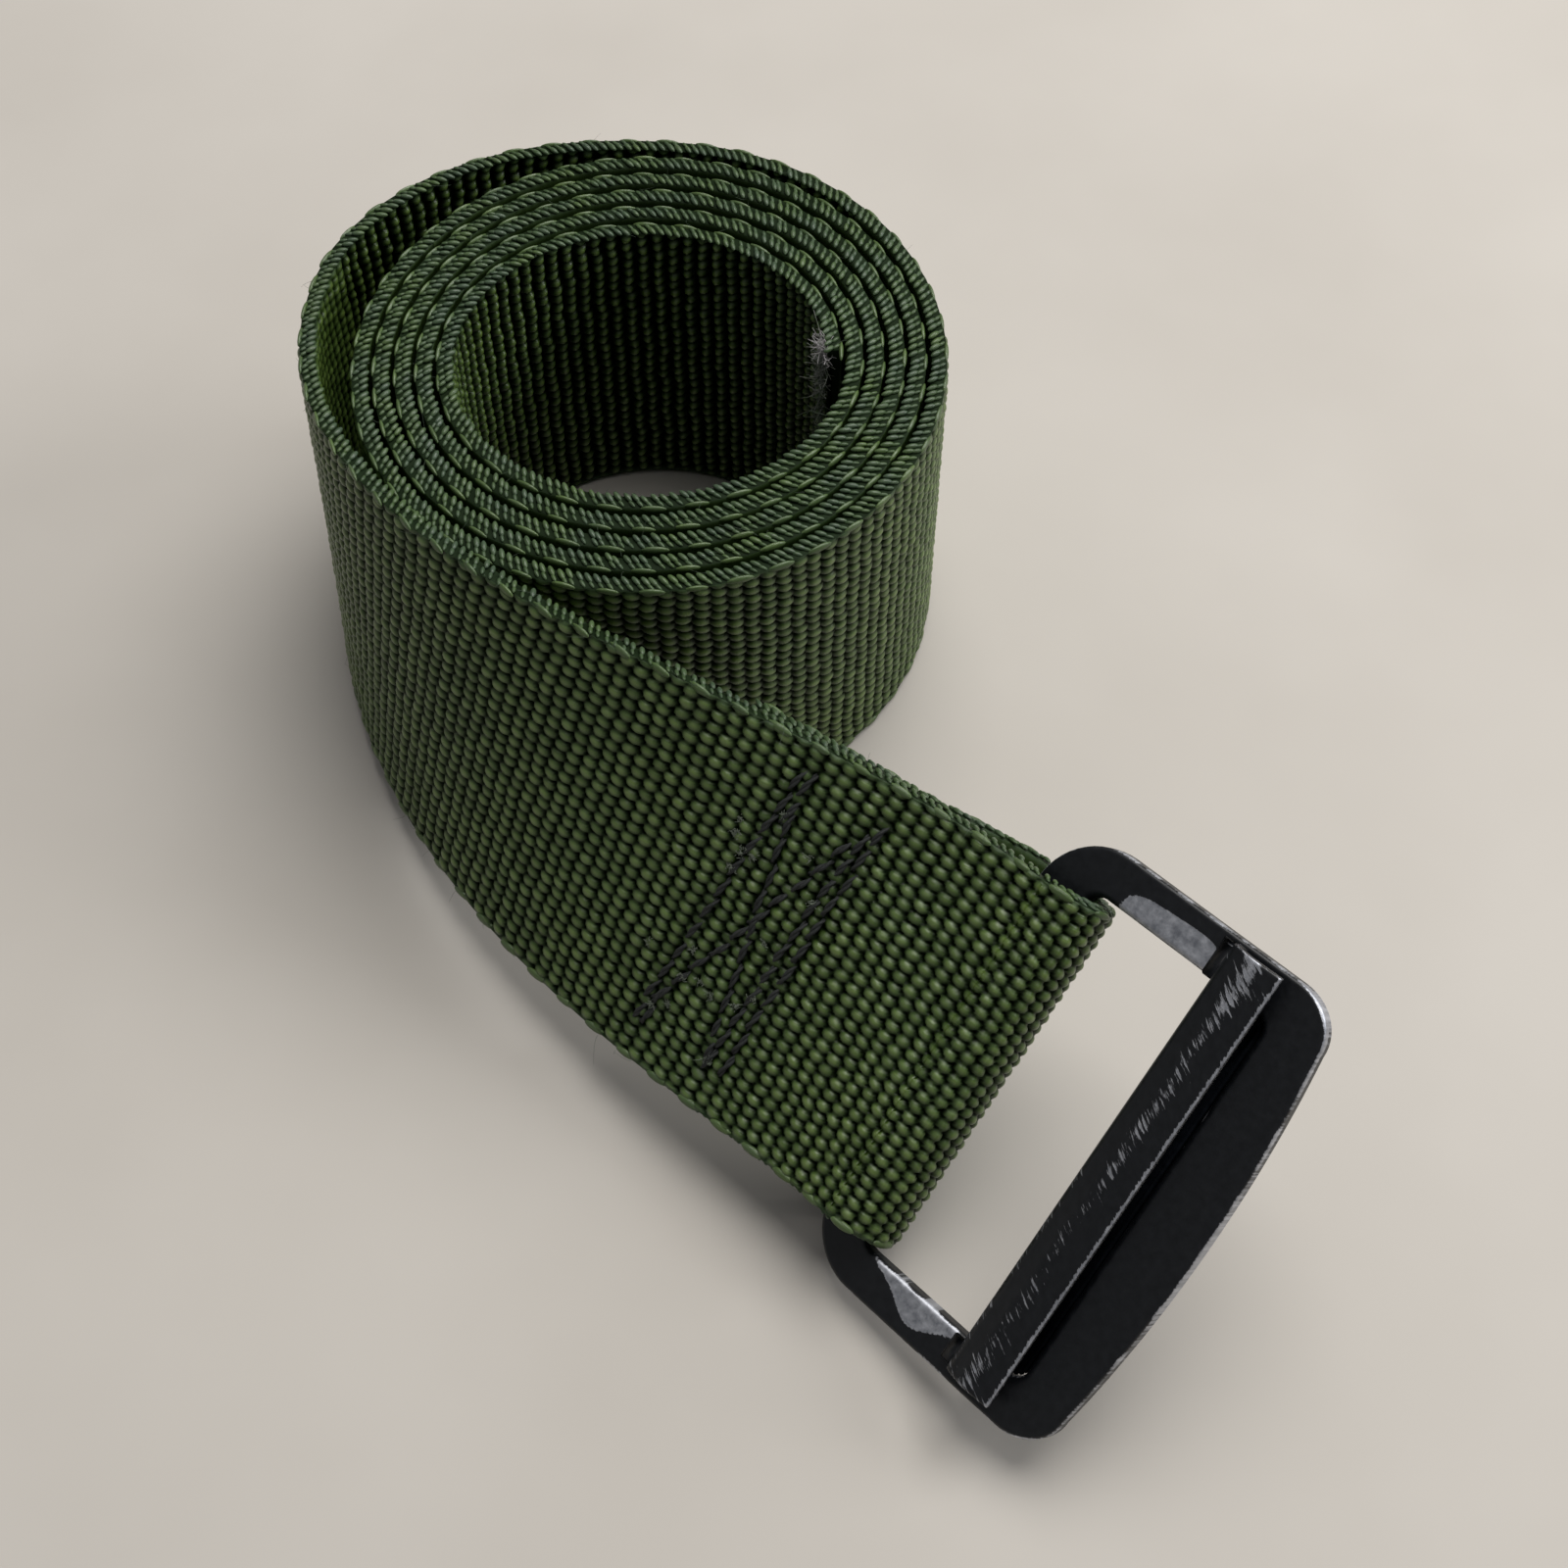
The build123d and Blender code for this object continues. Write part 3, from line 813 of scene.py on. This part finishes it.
def frame_wear(u, v, n, from_inner, from_outer):
    """Bare metal, from 0 to 1, on the frame."""
    rough = smooth_noise(u, v, 1.3, 3)
    top = ease((n - 0.5) / 0.4)
    edge = bump_at(from_outer, 0.0, 0.22) * (0.66 + 0.22 * rough) * np.where(n > 0, 1.0, 0.5)
    front_side = ease((u - 24.5) / 1.5) * bump_at(from_outer, 0.0, 0.12)
    edge = np.maximum(edge, front_side * (0.42 + 0.40 * bump_at(v, -1.0, 9.0)))
    corners = bump_at(u, 25.0, 2.6) * bump_at(np.abs(v), 22.8, 1.6)
    edge = edge + 0.45 * corners * bump_at(from_outer, 0.0, 0.7)
    inner = bump_at(from_inner, 0.0, 0.25) * (0.30 + 0.35 * rough)
    far_shape = 1 - ((u - 10.8) / 5.6) ** 4 - ((v - 19.6) / (3.0 + 0.06 * (u - 10.8))) ** 4
    far_patch = ease(far_shape / 0.35) * ease((v - 19.7) / 0.4)
    reach = 20.7 + 2.5 * bump_at(u, 11.0, 3.3)
    near_patch = ease((u - 3.8) / 2.4) * ease((16.2 - u) / 0.8) * ease((reach + v) / 0.7)
    near_patch = near_patch * ease((-v - 19.7) / 0.4) * 0.92
    near_rail = 0.34 * ease((u - 12.0) / 2.0) * ease((17.5 - u) / 1.0) * ease((-v - 19.7) / 0.4)
    patches = np.maximum(np.maximum(far_patch, near_patch), near_rail)
    return np.clip(np.maximum(edge, inner) + top * patches, 0, 1)


def build_frame():
    """The stamped plate: a section swept round between the window and the outer edge."""
    inner_line, outer_line = frame_outlines()
    span = outer_line - inner_line
    widths = np.linalg.norm(span, axis=1)
    span = span / widths[:, None]
    sections = [plate_section(width) for width in widths]
    from_inner = np.array([x for x, z in sections])
    n = np.array([z for x, z in sections])
    u = inner_line[:, :1] + span[:, :1] * from_inner
    v = inner_line[:, 1:] + span[:, 1:] * from_inner
    wear = frame_wear(u, v, n, from_inner, widths[:, None] - from_inner)
    faces = grid_faces(*u.shape, wrap_columns=True, wrap_rows=True)[:, ::-1]
    uv = np.stack([u.ravel(), v.ravel()], -1)
    return new_mesh("buckle_plate", to_row(u, v, n), faces, uv=uv, values={"wear": wear})


frame_body = build_frame()
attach(frame_body, "buckle")
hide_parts("buckle_frame")

# -------- grip bar

GRIP_HALF_T = 0.55
GRIP_HALF_L = 23.2
GRIP_SHIFT = 0.6  # the plate lies this far off the frame's middle
GRIP_REAR = 16.6
GRIP_FRONT = 22.08
GRIP_FRONT_TOP = 3.35
FOOT_BASE = 1.15
FOOT_TOP = 2.0
HEEL_R = 0.55
SLOPE_END = (18.75, 2.94)
CROWN_R = 2.38
CROWN_FROM, CROWN_TO = 109.6, 81.6
LIP_R = 0.16  # rounding of the front edge, above and below
FOOT_POINTS, HEEL_POINTS, SLOPE_POINTS, CROWN_POINTS, TOP_POINTS = 5, 10, 14, 16, 12
LIP_POINTS = 5
LENGTH_POINTS = 300
LENGTH_MARGIN = 0.3  # the evenly spaced ones stop short of the ends by this
END_STEPS = np.array([0.0, 0.04, 0.14])  # and these close up to them,
END_SHRINK = np.array([0.74, 0.88, 0.97])  # where the plate thins by these factors


def bent_line():
    """Middle line of the bent plate: foot, heel, slope, crown and top."""
    u = GRIP_REAR + GRIP_HALF_T
    foot = straight((u, FOOT_BASE), (u, FOOT_TOP), FOOT_POINTS)
    heel = arc(u + HEEL_R, FOOT_TOP, HEEL_R, 180, 110, HEEL_POINTS)
    slope = straight(heel[-1], SLOPE_END, SLOPE_POINTS)
    crown = arc(0, 0, CROWN_R, CROWN_FROM, CROWN_TO, CROWN_POINTS)
    crown = crown + (slope[-1] - crown[0])
    top = straight(crown[-1], (GRIP_FRONT, GRIP_FRONT_TOP - GRIP_HALF_T), TOP_POINTS)
    return np.concatenate([foot, heel[1:], slope[1:], crown[1:], top[1:]])


def front_lip(end, heading, left):
    """Round the plate's front edge, from its upper face to its lower one."""
    quarter = np.radians(np.linspace(90, 0, LIP_POINTS))
    corners = []
    for side, turn in ((1, quarter), (-1, quarter[::-1])):
        hub = end + side * (GRIP_HALF_T - LIP_R) * left - heading * LIP_R
        way = side * left * np.sin(turn)[:, None] + heading * np.cos(turn)[:, None]
        corners.append(hub + LIP_R * way)
    return np.concatenate(corners)


def grip_profile():
    """Points round the plate's profile, and the middle line's point for each of them."""
    middle = bent_line()
    heading = unit(np.gradient(middle, axis=0))
    left = np.stack([-heading[:, 1], heading[:, 0]], -1)
    lip = front_lip(middle[-1], heading[-1], left[-1])
    upper, lower = middle + left * GRIP_HALF_T, middle - left * GRIP_HALF_T
    hub = np.repeat(middle[-1:] - heading[-1:] * LIP_R, len(lip), 0)
    core = np.concatenate([middle[:-1], hub, middle[-2::-1]])
    return np.concatenate([upper[:-1], lip, lower[-2::-1]]), core


def grip_wear(run, v):
    """Bare metal, from 0 to 1, on the plate. run is the distance round its profile."""
    heel_point = FOOT_POINTS + HEEL_POINTS // 2
    crown_start = FOOT_POINTS + HEEL_POINTS + SLOPE_POINTS - 3
    lip_start = crown_start + CROWN_POINTS + TOP_POINTS - 2
    off_middle = np.abs(v - GRIP_SHIFT)
    ends = ease((off_middle - 15.0) / 8.0)
    scuffed = 0.42 + 0.20 * ends + 0.11 * ease((v - 1) / 4) + 0.09 * smooth_noise(run, v, 0.8, 9)
    wander = run[:, crown_start + CROWN_POINTS // 2, None] + 0.35 * smooth_noise(0 * run, v, 0.4, 5)
    crown = bump_at(run, wander, 1.0 + 0.5 * ends) * scuffed
    lip = bump_at(run, run[:, lip_start + LIP_POINTS // 2, None], 0.25)
    heel = bump_at(run, run[:, heel_point, None], 0.55) * 0.42 * ease((3.0 - v) / 4.0)
    tips = bump_at(off_middle, GRIP_HALF_L, 0.22) * 0.55
    wear = np.max([crown, lip, heel, tips, 0.30 * ends**2], axis=0)
    return np.where(run > run[:, lip_start + 2 * LIP_POINTS, None], 0.0, wear)


def end_strips(profile_count, rows):
    """Quads that close the plate's two ends between its upper and lower faces."""
    quads = []
    for row, flip in ((0, False), (rows - 1, True)):
        base = row * profile_count
        for i in range(profile_count // 2 - 1):
            j = profile_count - 1 - i
            quad = [base + i, base + i + 1, base + j - 1, base + j]
            quads.append(quad[::-1] if flip else quad)
    return np.array(quads)


def grip_plate(parts):
    """Adds the bent plate: its profile, repeated across the buckle."""
    profile, core = grip_profile()
    inside = np.linspace(-GRIP_HALF_L + LENGTH_MARGIN, GRIP_HALF_L - LENGTH_MARGIN, LENGTH_POINTS)
    places = np.concatenate([END_STEPS - GRIP_HALF_L, inside, GRIP_HALF_L - END_STEPS[::-1]])
    shrink = np.concatenate([END_SHRINK, 0 * inside + 1, END_SHRINK[::-1]])
    points = core[None] + (profile - core)[None] * shrink[:, None, None]
    v = np.repeat(places[:, None], len(profile), 1) + GRIP_SHIFT
    run = np.repeat(course_lengths(profile)[None], len(places), 0)
    faces = grid_faces(*v.shape, wrap_columns=True)
    faces = np.concatenate([faces, end_strips(len(profile), len(places))])
    uv = np.stack([run.ravel() + 30, (v + 0.55 * run).ravel()], -1)
    world = to_row(points[..., 0], v, points[..., 1])
    parts.add(world.reshape(-1, 3), faces, uv, wear=grip_wear(run, v).ravel())


BOX_RING = ((-1, -1), (1, -1), (1, 1), (-1, 1))


def box_point(axis, along, x, y, face):
    """Number of the point on this face at the corner with these signs, from axis on."""
    signs = np.roll((along, x, y), axis)
    return 3 * ((signs > 0) @ (4, 2, 1)) + face


def block(parts, low, high, wear, bevel=0.18):
    """A box in the buckle's own directions with its edges taken off."""
    low, high = np.array(low), np.array(high)
    grid = np.meshgrid(*[(-1, 1)] * 3, indexing="ij")
    corners = np.stack(grid, -1).reshape(-1, 1, 3)
    inset = (high - low) / 2 - bevel * (1 - np.eye(3))
    points = ((high + low) / 2 + corners * inset).reshape(-1, 3)
    quads = []
    for axis in range(3):
        a, b = (axis + 1) % 3, (axis + 2) % 3
        for sign in (-1, 1):
            quads.append([box_point(axis, sign, x, y, axis) for x, y in BOX_RING][::sign])
        for x, y in BOX_RING:
            ends = ((-1, a), (1, a), (1, b), (-1, b))
            quads.append([box_point(axis, z, x, y, face) for z, face in ends][::x * y])
    for corner in corners[:, 0]:
        ring = [box_point(0, *corner, face) for face in range(3)][::corner.prod()]
        quads.append(ring + ring[-1:])
    world = to_row(points[:, 0], points[:, 1], points[:, 2])
    parts.add(world, np.array(quads), points[:, :2], wear=wear)


KEEPER_U = (16.9, 20.1)
KEEPER_V = (18.45, 19.65)
KEEPER_N = (-2.25, 2.6)
HOOK_V = (18.45, 22.05)  # the keepers' hooks reach under the rails
HOOK_N = (-2.25, -1.15)
FOOT_U = (15.3, 16.9)
FOOT_N = (1.15, 1.6)
LEG_U = (16.6, 17.7)  # the leg's upright, and then its three steps
LEG_N = (-0.4, 1.3)
STEP_REAR = 16.8
STEP_N = (-0.4, 0.2)
LEG_STEPS = ((18.9, 22.35), (19.3, 22.1), (19.6, 21.7))
SLOT_SHADE = -0.6  # wear that takes the paint's reflection off the leg's steps, so they stay black as painted shade in the slot


def end_blocks(parts, far):
    """Foot, keeper and hook at the far end (1) or the near end (-1)."""
    foot_v = (WINDOW_HALF_W, GRIP_HALF_L + far * GRIP_SHIFT)
    for u, v, n, wear in (
        (FOOT_U, foot_v, FOOT_N, 0.25),
        (KEEPER_U, KEEPER_V, KEEPER_N, 0.2),
        (KEEPER_U, HOOK_V, HOOK_N, 0.2),
    ):
        v = sorted(far * side for side in v)
        block(parts, (u[0], v[0], n[0]), (u[1], v[1], n[1]), wear)


def leg_blocks(parts):
    """The leg: down into the window, and forward in steps, which stay black as painted shade in the
    slot in front of the lip.
    """
    half_l = KEEPER_V[1]
    block(parts, (LEG_U[0], -half_l, LEG_N[0]), (LEG_U[1], half_l, LEG_N[1]), 0.15)
    for half_l, front in LEG_STEPS:
        block(parts, (STEP_REAR, -half_l, STEP_N[0]), (front, half_l, STEP_N[1]), SLOT_SHADE, 0.05)


grip_parts = Parts()
grip_plate(grip_parts)
for far in (-1, 1):
    end_blocks(grip_parts, far)
leg_blocks(grip_parts)
grip = grip_parts.build("grip_plate")
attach(grip, "grip")
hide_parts("grip_bar")

# -------- materials


class Nodes:
    """Short calls for building a material's nodes."""

    def __init__(self, name):
        self.material = bpy.data.materials.new(name)
        self.material.use_nodes = True
        self.tree = self.material.node_tree
        self.shader = self.tree.nodes["Principled BSDF"]

    def node(self, kind, inputs=None, **settings):
        made = self.tree.nodes.new(kind)
        for key, value in settings.items():
            setattr(made, key, value)
        for key, value in (inputs or {}).items():
            self.put(made.inputs[key], value)
        return made

    def put(self, socket, value):
        if isinstance(value, bpy.types.NodeSocket):
            self.tree.links.new(value, socket)
        else:
            socket.default_value = value

    def attribute(self, name):
        return self.node("ShaderNodeAttribute", attribute_name=name).outputs["Fac"]

    def uv(self, scale_u, scale_v):
        uv = self.node("ShaderNodeUVMap", uv_map="Along").outputs["UV"]
        scale = (scale_u, scale_v, 1)
        scaled = self.node("ShaderNodeVectorMath", {0: uv, 1: scale}, operation="MULTIPLY")
        return scaled.outputs[0]

    def place(self):
        return self.node("ShaderNodeTexCoord").outputs["Object"]

    def noise(self, vector, scale, detail=3.0, roughness=0.5):
        inputs = {"Vector": vector, "Scale": scale, "Detail": detail, "Roughness": roughness}
        return self.node("ShaderNodeTexNoise", inputs).outputs["Fac"]

    def math(self, operation, a, b=0.0, c=0.0, clamp=False):
        made = self.node("ShaderNodeMath", operation=operation, use_clamp=clamp)
        for socket, value in zip(made.inputs, (a, b, c)):
            self.put(socket, value)
        return made.outputs[0]

    def mix(self, factor, a, b, blend="MIX"):
        made = self.node("ShaderNodeMix", data_type="RGBA", blend_type=blend)
        self.put(made.inputs[0], factor)
        self.put(made.inputs[6], a)
        self.put(made.inputs[7], b)
        return made.outputs[2]

    def ramp(self, factor, stops):
        made = self.node("ShaderNodeValToRGB", {"Fac": factor})
        elements = made.color_ramp.elements
        while len(elements) < len(stops):
            elements.new(0.5)
        for element, (position, colour) in zip(elements, stops):
            element.position = position
            element.color = (*colour, 1)
        return made.outputs["Color"]

    def bump(self, height, distance, strength=1.0):
        inputs = {"Height": height, "Distance": distance, "Strength": strength}
        return self.node("ShaderNodeBump", inputs).outputs["Normal"]

    def shade(self, **inputs):
        for key, value in inputs.items():
            self.put(self.shader.inputs[key.replace("_", " ")], value)
        return self.material


def webbing_material():
    """Green nylon, with painted shade between the beads, and paler at the worn edges."""
    n = Nodes("olive_webbing")
    relief = n.attribute("relief")
    edge = n.attribute("edge")
    # The crowns have the nylon's own colour; the ramp paints shade down into the gaps between the
    # beads.
    colour = n.ramp(relief, [
        (0.0, (0.0004, 0.0009, 0.0003)),
        (0.45, (0.0080, 0.0172, 0.0038)),
        (0.78, (0.0445, 0.0825, 0.0192)),
        (1.0, (0.1020, 0.1670, 0.0410)),
    ])
    patch = n.noise(n.place(), 70.0, 3.0)
    colour = n.mix(patch, colour, (1.0, 0.93, 0.62, 1), "MULTIPLY")
    worn = n.math("MULTIPLY", n.math("MULTIPLY", edge, relief), n.noise(n.place(), 260.0, 3.0))
    colour = n.mix(n.math("MULTIPLY", worn, 1.7, clamp=True), colour, (0.050, 0.079, 0.045, 1))
    filaments = n.noise(n.uv(0.5, 16.0), 1.0, 2.0, 0.6)
    shade = n.math("MULTIPLY_ADD", filaments, 0.9, 0.55)
    grey = n.node("ShaderNodeCombineColor", {0: shade, 1: shade, 2: shade}).outputs[0]
    colour = n.mix(1.0, colour, grey, "MULTIPLY")
    roughness = n.math("MULTIPLY_ADD", filaments, 0.20, 0.22)
    gloss = n.math("MULTIPLY", relief, n.math("MULTIPLY", relief, 0.75))
    gloss = n.math("MULTIPLY", gloss, n.math("MULTIPLY_ADD", edge, -0.5, 1.0))
    return n.shade(
        Base_Color=colour, Roughness=roughness, Normal=n.bump(filaments, 0.00005, 0.8),
        Specular_IOR_Level=gloss,
    )


def thread_material():
    n = Nodes("charcoal_thread")
    fibres = n.noise(n.uv(3.0, 5.0), 1.0, 3.0)
    colour = n.ramp(fibres, [(0.3, (0.0060, 0.0068, 0.0068)), (0.75, (0.0320, 0.0360, 0.0345))])
    return n.shade(
        Base_Color=colour, Roughness=n.math("MULTIPLY_ADD", fibres, 0.3, 0.5),
        Normal=n.bump(fibres, 0.00005),
    )


def lint_material():
    n = Nodes("pale_lint")
    pale = n.attribute("pale")
    mottle = n.noise(n.place(), 900.0, 2.0)
    colour = n.ramp(n.math("MULTIPLY", pale, n.math("MULTIPLY_ADD", mottle, 0.6, 0.7)), [
        (0.2, (0.050, 0.080, 0.050)), (0.55, (0.17, 0.19, 0.15)), (1.0, (0.50, 0.46, 0.48)),
    ])
    return n.shade(Base_Color=colour, Roughness=0.8, Specular_IOR_Level=0.2)


def buckle_material(name, scratch_scale, speckle_pull, scratch_pull):
    """Black paint, and bare metal where the wear and two noises add up."""
    n = Nodes(name)
    wear = n.attribute("wear")
    speckle = n.noise(n.uv(1.0, 1.0), 3.2, 5.0, 0.7)
    scratch = n.noise(n.uv(*scratch_scale), 1.0, 3.0, 0.65)
    speckled = n.math("MULTIPLY", n.math("SUBTRACT", speckle, 0.5), speckle_pull)
    scratched = n.math("MULTIPLY", n.math("SUBTRACT", scratch, 0.5), scratch_pull)
    bare = n.math("ADD", wear, n.math("ADD", speckled, scratched))
    bare = n.math("MULTIPLY_ADD", n.math("SUBTRACT", bare, 0.62), 5.0, 0.5, clamp=True)
    grime = n.noise(n.uv(1.0, 1.0), 1.1, 4.0, 0.6)
    paint = n.ramp(grime, [(0.3, (0.0022, 0.0027, 0.0038)), (0.7, (0.0055, 0.0065, 0.0085))])
    dull = n.math("ADD", n.math("MULTIPLY", grime, 0.75), n.math("MULTIPLY", speckle, 0.25))
    metal = n.ramp(dull, [(0.35, (0.25, 0.26, 0.29)), (0.65, (0.55, 0.56, 0.60))])
    orange_peel = n.noise(n.place(), 2600.0, 2.0)
    rough_paint = n.math("MULTIPLY_ADD", grime, 0.30, 0.25)
    height = n.math("SUBTRACT", n.math("MULTIPLY", orange_peel, 0.25), bare)
    return n.shade(
        Base_Color=n.mix(bare, paint, metal),
        Metallic=n.math("MULTIPLY", bare, 0.85),
        Roughness=n.math("ADD", n.math("MULTIPLY", bare, 0.08), rough_paint),
        Normal=n.bump(height, 0.00003, 0.7),
        # No reflection where the wear is below -0.1: the leg's steps stay black as painted shade in
        # the slot.
        Specular_IOR_Level=n.math("MULTIPLY", n.math("GREATER_THAN", wear, -0.1), 0.4),
    )


webbing_look = webbing_material()
thread_look = thread_material()
frame_look = buckle_material("worn_black_frame", (1.2, 1.2), 0.9, 0.3)
grip_look = buckle_material("worn_black_grip", (0.40, 2.8), 0.45, 1.9)

for piece in coil_inner + coil_middle + coil_outer:
    piece.data.materials.append(webbing_look)
    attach(piece, "coil")
for piece in loop + tail:
    piece.data.materials.append(webbing_look)
    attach(piece, "free_end")

# The standing end and the free end get the webbing's finish and have their transforms baked into
# their meshes.
for piece in coil_stand + lead:
    piece.data.materials.append(webbing_look)
    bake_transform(piece)
for thread in threads:
    thread.data.materials.append(thread_look)
lint_look = lint_material()
for obj in (coil_lint, lead_lint):
    obj.data.materials.append(lint_look)
frame_body.data.materials.append(frame_look)
grip.data.materials.append(grip_look)

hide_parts("webbing_coil")
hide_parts("webbing_lead")
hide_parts("webbing_loop")
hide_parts("webbing_tail")

# CAD nodes that are hidden still get the finish of what stands for them.
looks = {"webbing": webbing_look, "buckle": frame_look, "grip": grip_look}
for name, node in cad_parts.items():
    node.data.materials.clear()
    node.data.materials.append(looks.get(name.split("_")[0], thread_look))

# -------- floor, light and camera


LIGHT_AIM = (0, 0, 0.01)
CAMERA_SPOT = (0.00084, -0.12913, 0.2112)
CAMERA_DOWN = 57  # degrees below the horizon
CAMERA_LENS = 54.0


def add_floor():
    bpy.ops.mesh.primitive_plane_add(size=6.0, location=(0, 0, 0))
    floor = bpy.context.object
    floor.name = "table"
    n = Nodes("pale_table")
    mottle = n.noise(n.place(), 18.0, 4.0)
    colour = n.ramp(mottle, [(0.3, (0.50, 0.465, 0.42)), (0.7, (0.55, 0.515, 0.47))])
    floor.data.materials.append(n.shade(Base_Color=colour, Roughness=0.9))


def add_light(name, spot, size, power, colour):
    data = bpy.data.lights.new(name, "AREA")
    data.shape = "DISK"
    data.size = size
    data.energy = power
    data.color = colour
    lamp = bpy.data.objects.new(name, data)
    lamp.location = spot
    lamp.rotation_euler = (Vector(LIGHT_AIM) - Vector(spot)).to_track_quat("-Z", "Y").to_euler()
    bpy.context.scene.collection.objects.link(lamp)


def add_camera():
    data = bpy.data.cameras.new("camera")
    data.sensor_width = 36.0
    data.lens = CAMERA_LENS
    camera = bpy.data.objects.new("camera", data)
    camera.location = CAMERA_SPOT
    camera.rotation_euler = (math.radians(90 - CAMERA_DOWN), 0, 0)
    data.clip_start = 0.01
    bpy.context.scene.collection.objects.link(camera)
    bpy.context.scene.camera = camera


def add_world():
    world = bpy.data.worlds.new("soft_room")
    bpy.context.scene.world = world
    world.use_nodes = True
    background = world.node_tree.nodes["Background"]
    background.inputs["Color"].default_value = (0.95, 0.97, 1.0, 1)
    background.inputs["Strength"].default_value = 0.22


add_floor()
add_world()
add_light("overhead", (0.22, 0.36, 0.88), 0.85, 9.3, colour=(1.0, 0.985, 0.96))
add_light("window", (0.75, 0.10, 0.45), 0.35, 3.0, colour=(0.97, 0.985, 1.0))
add_camera()
bpy.context.scene.view_settings.view_transform = "Standard"
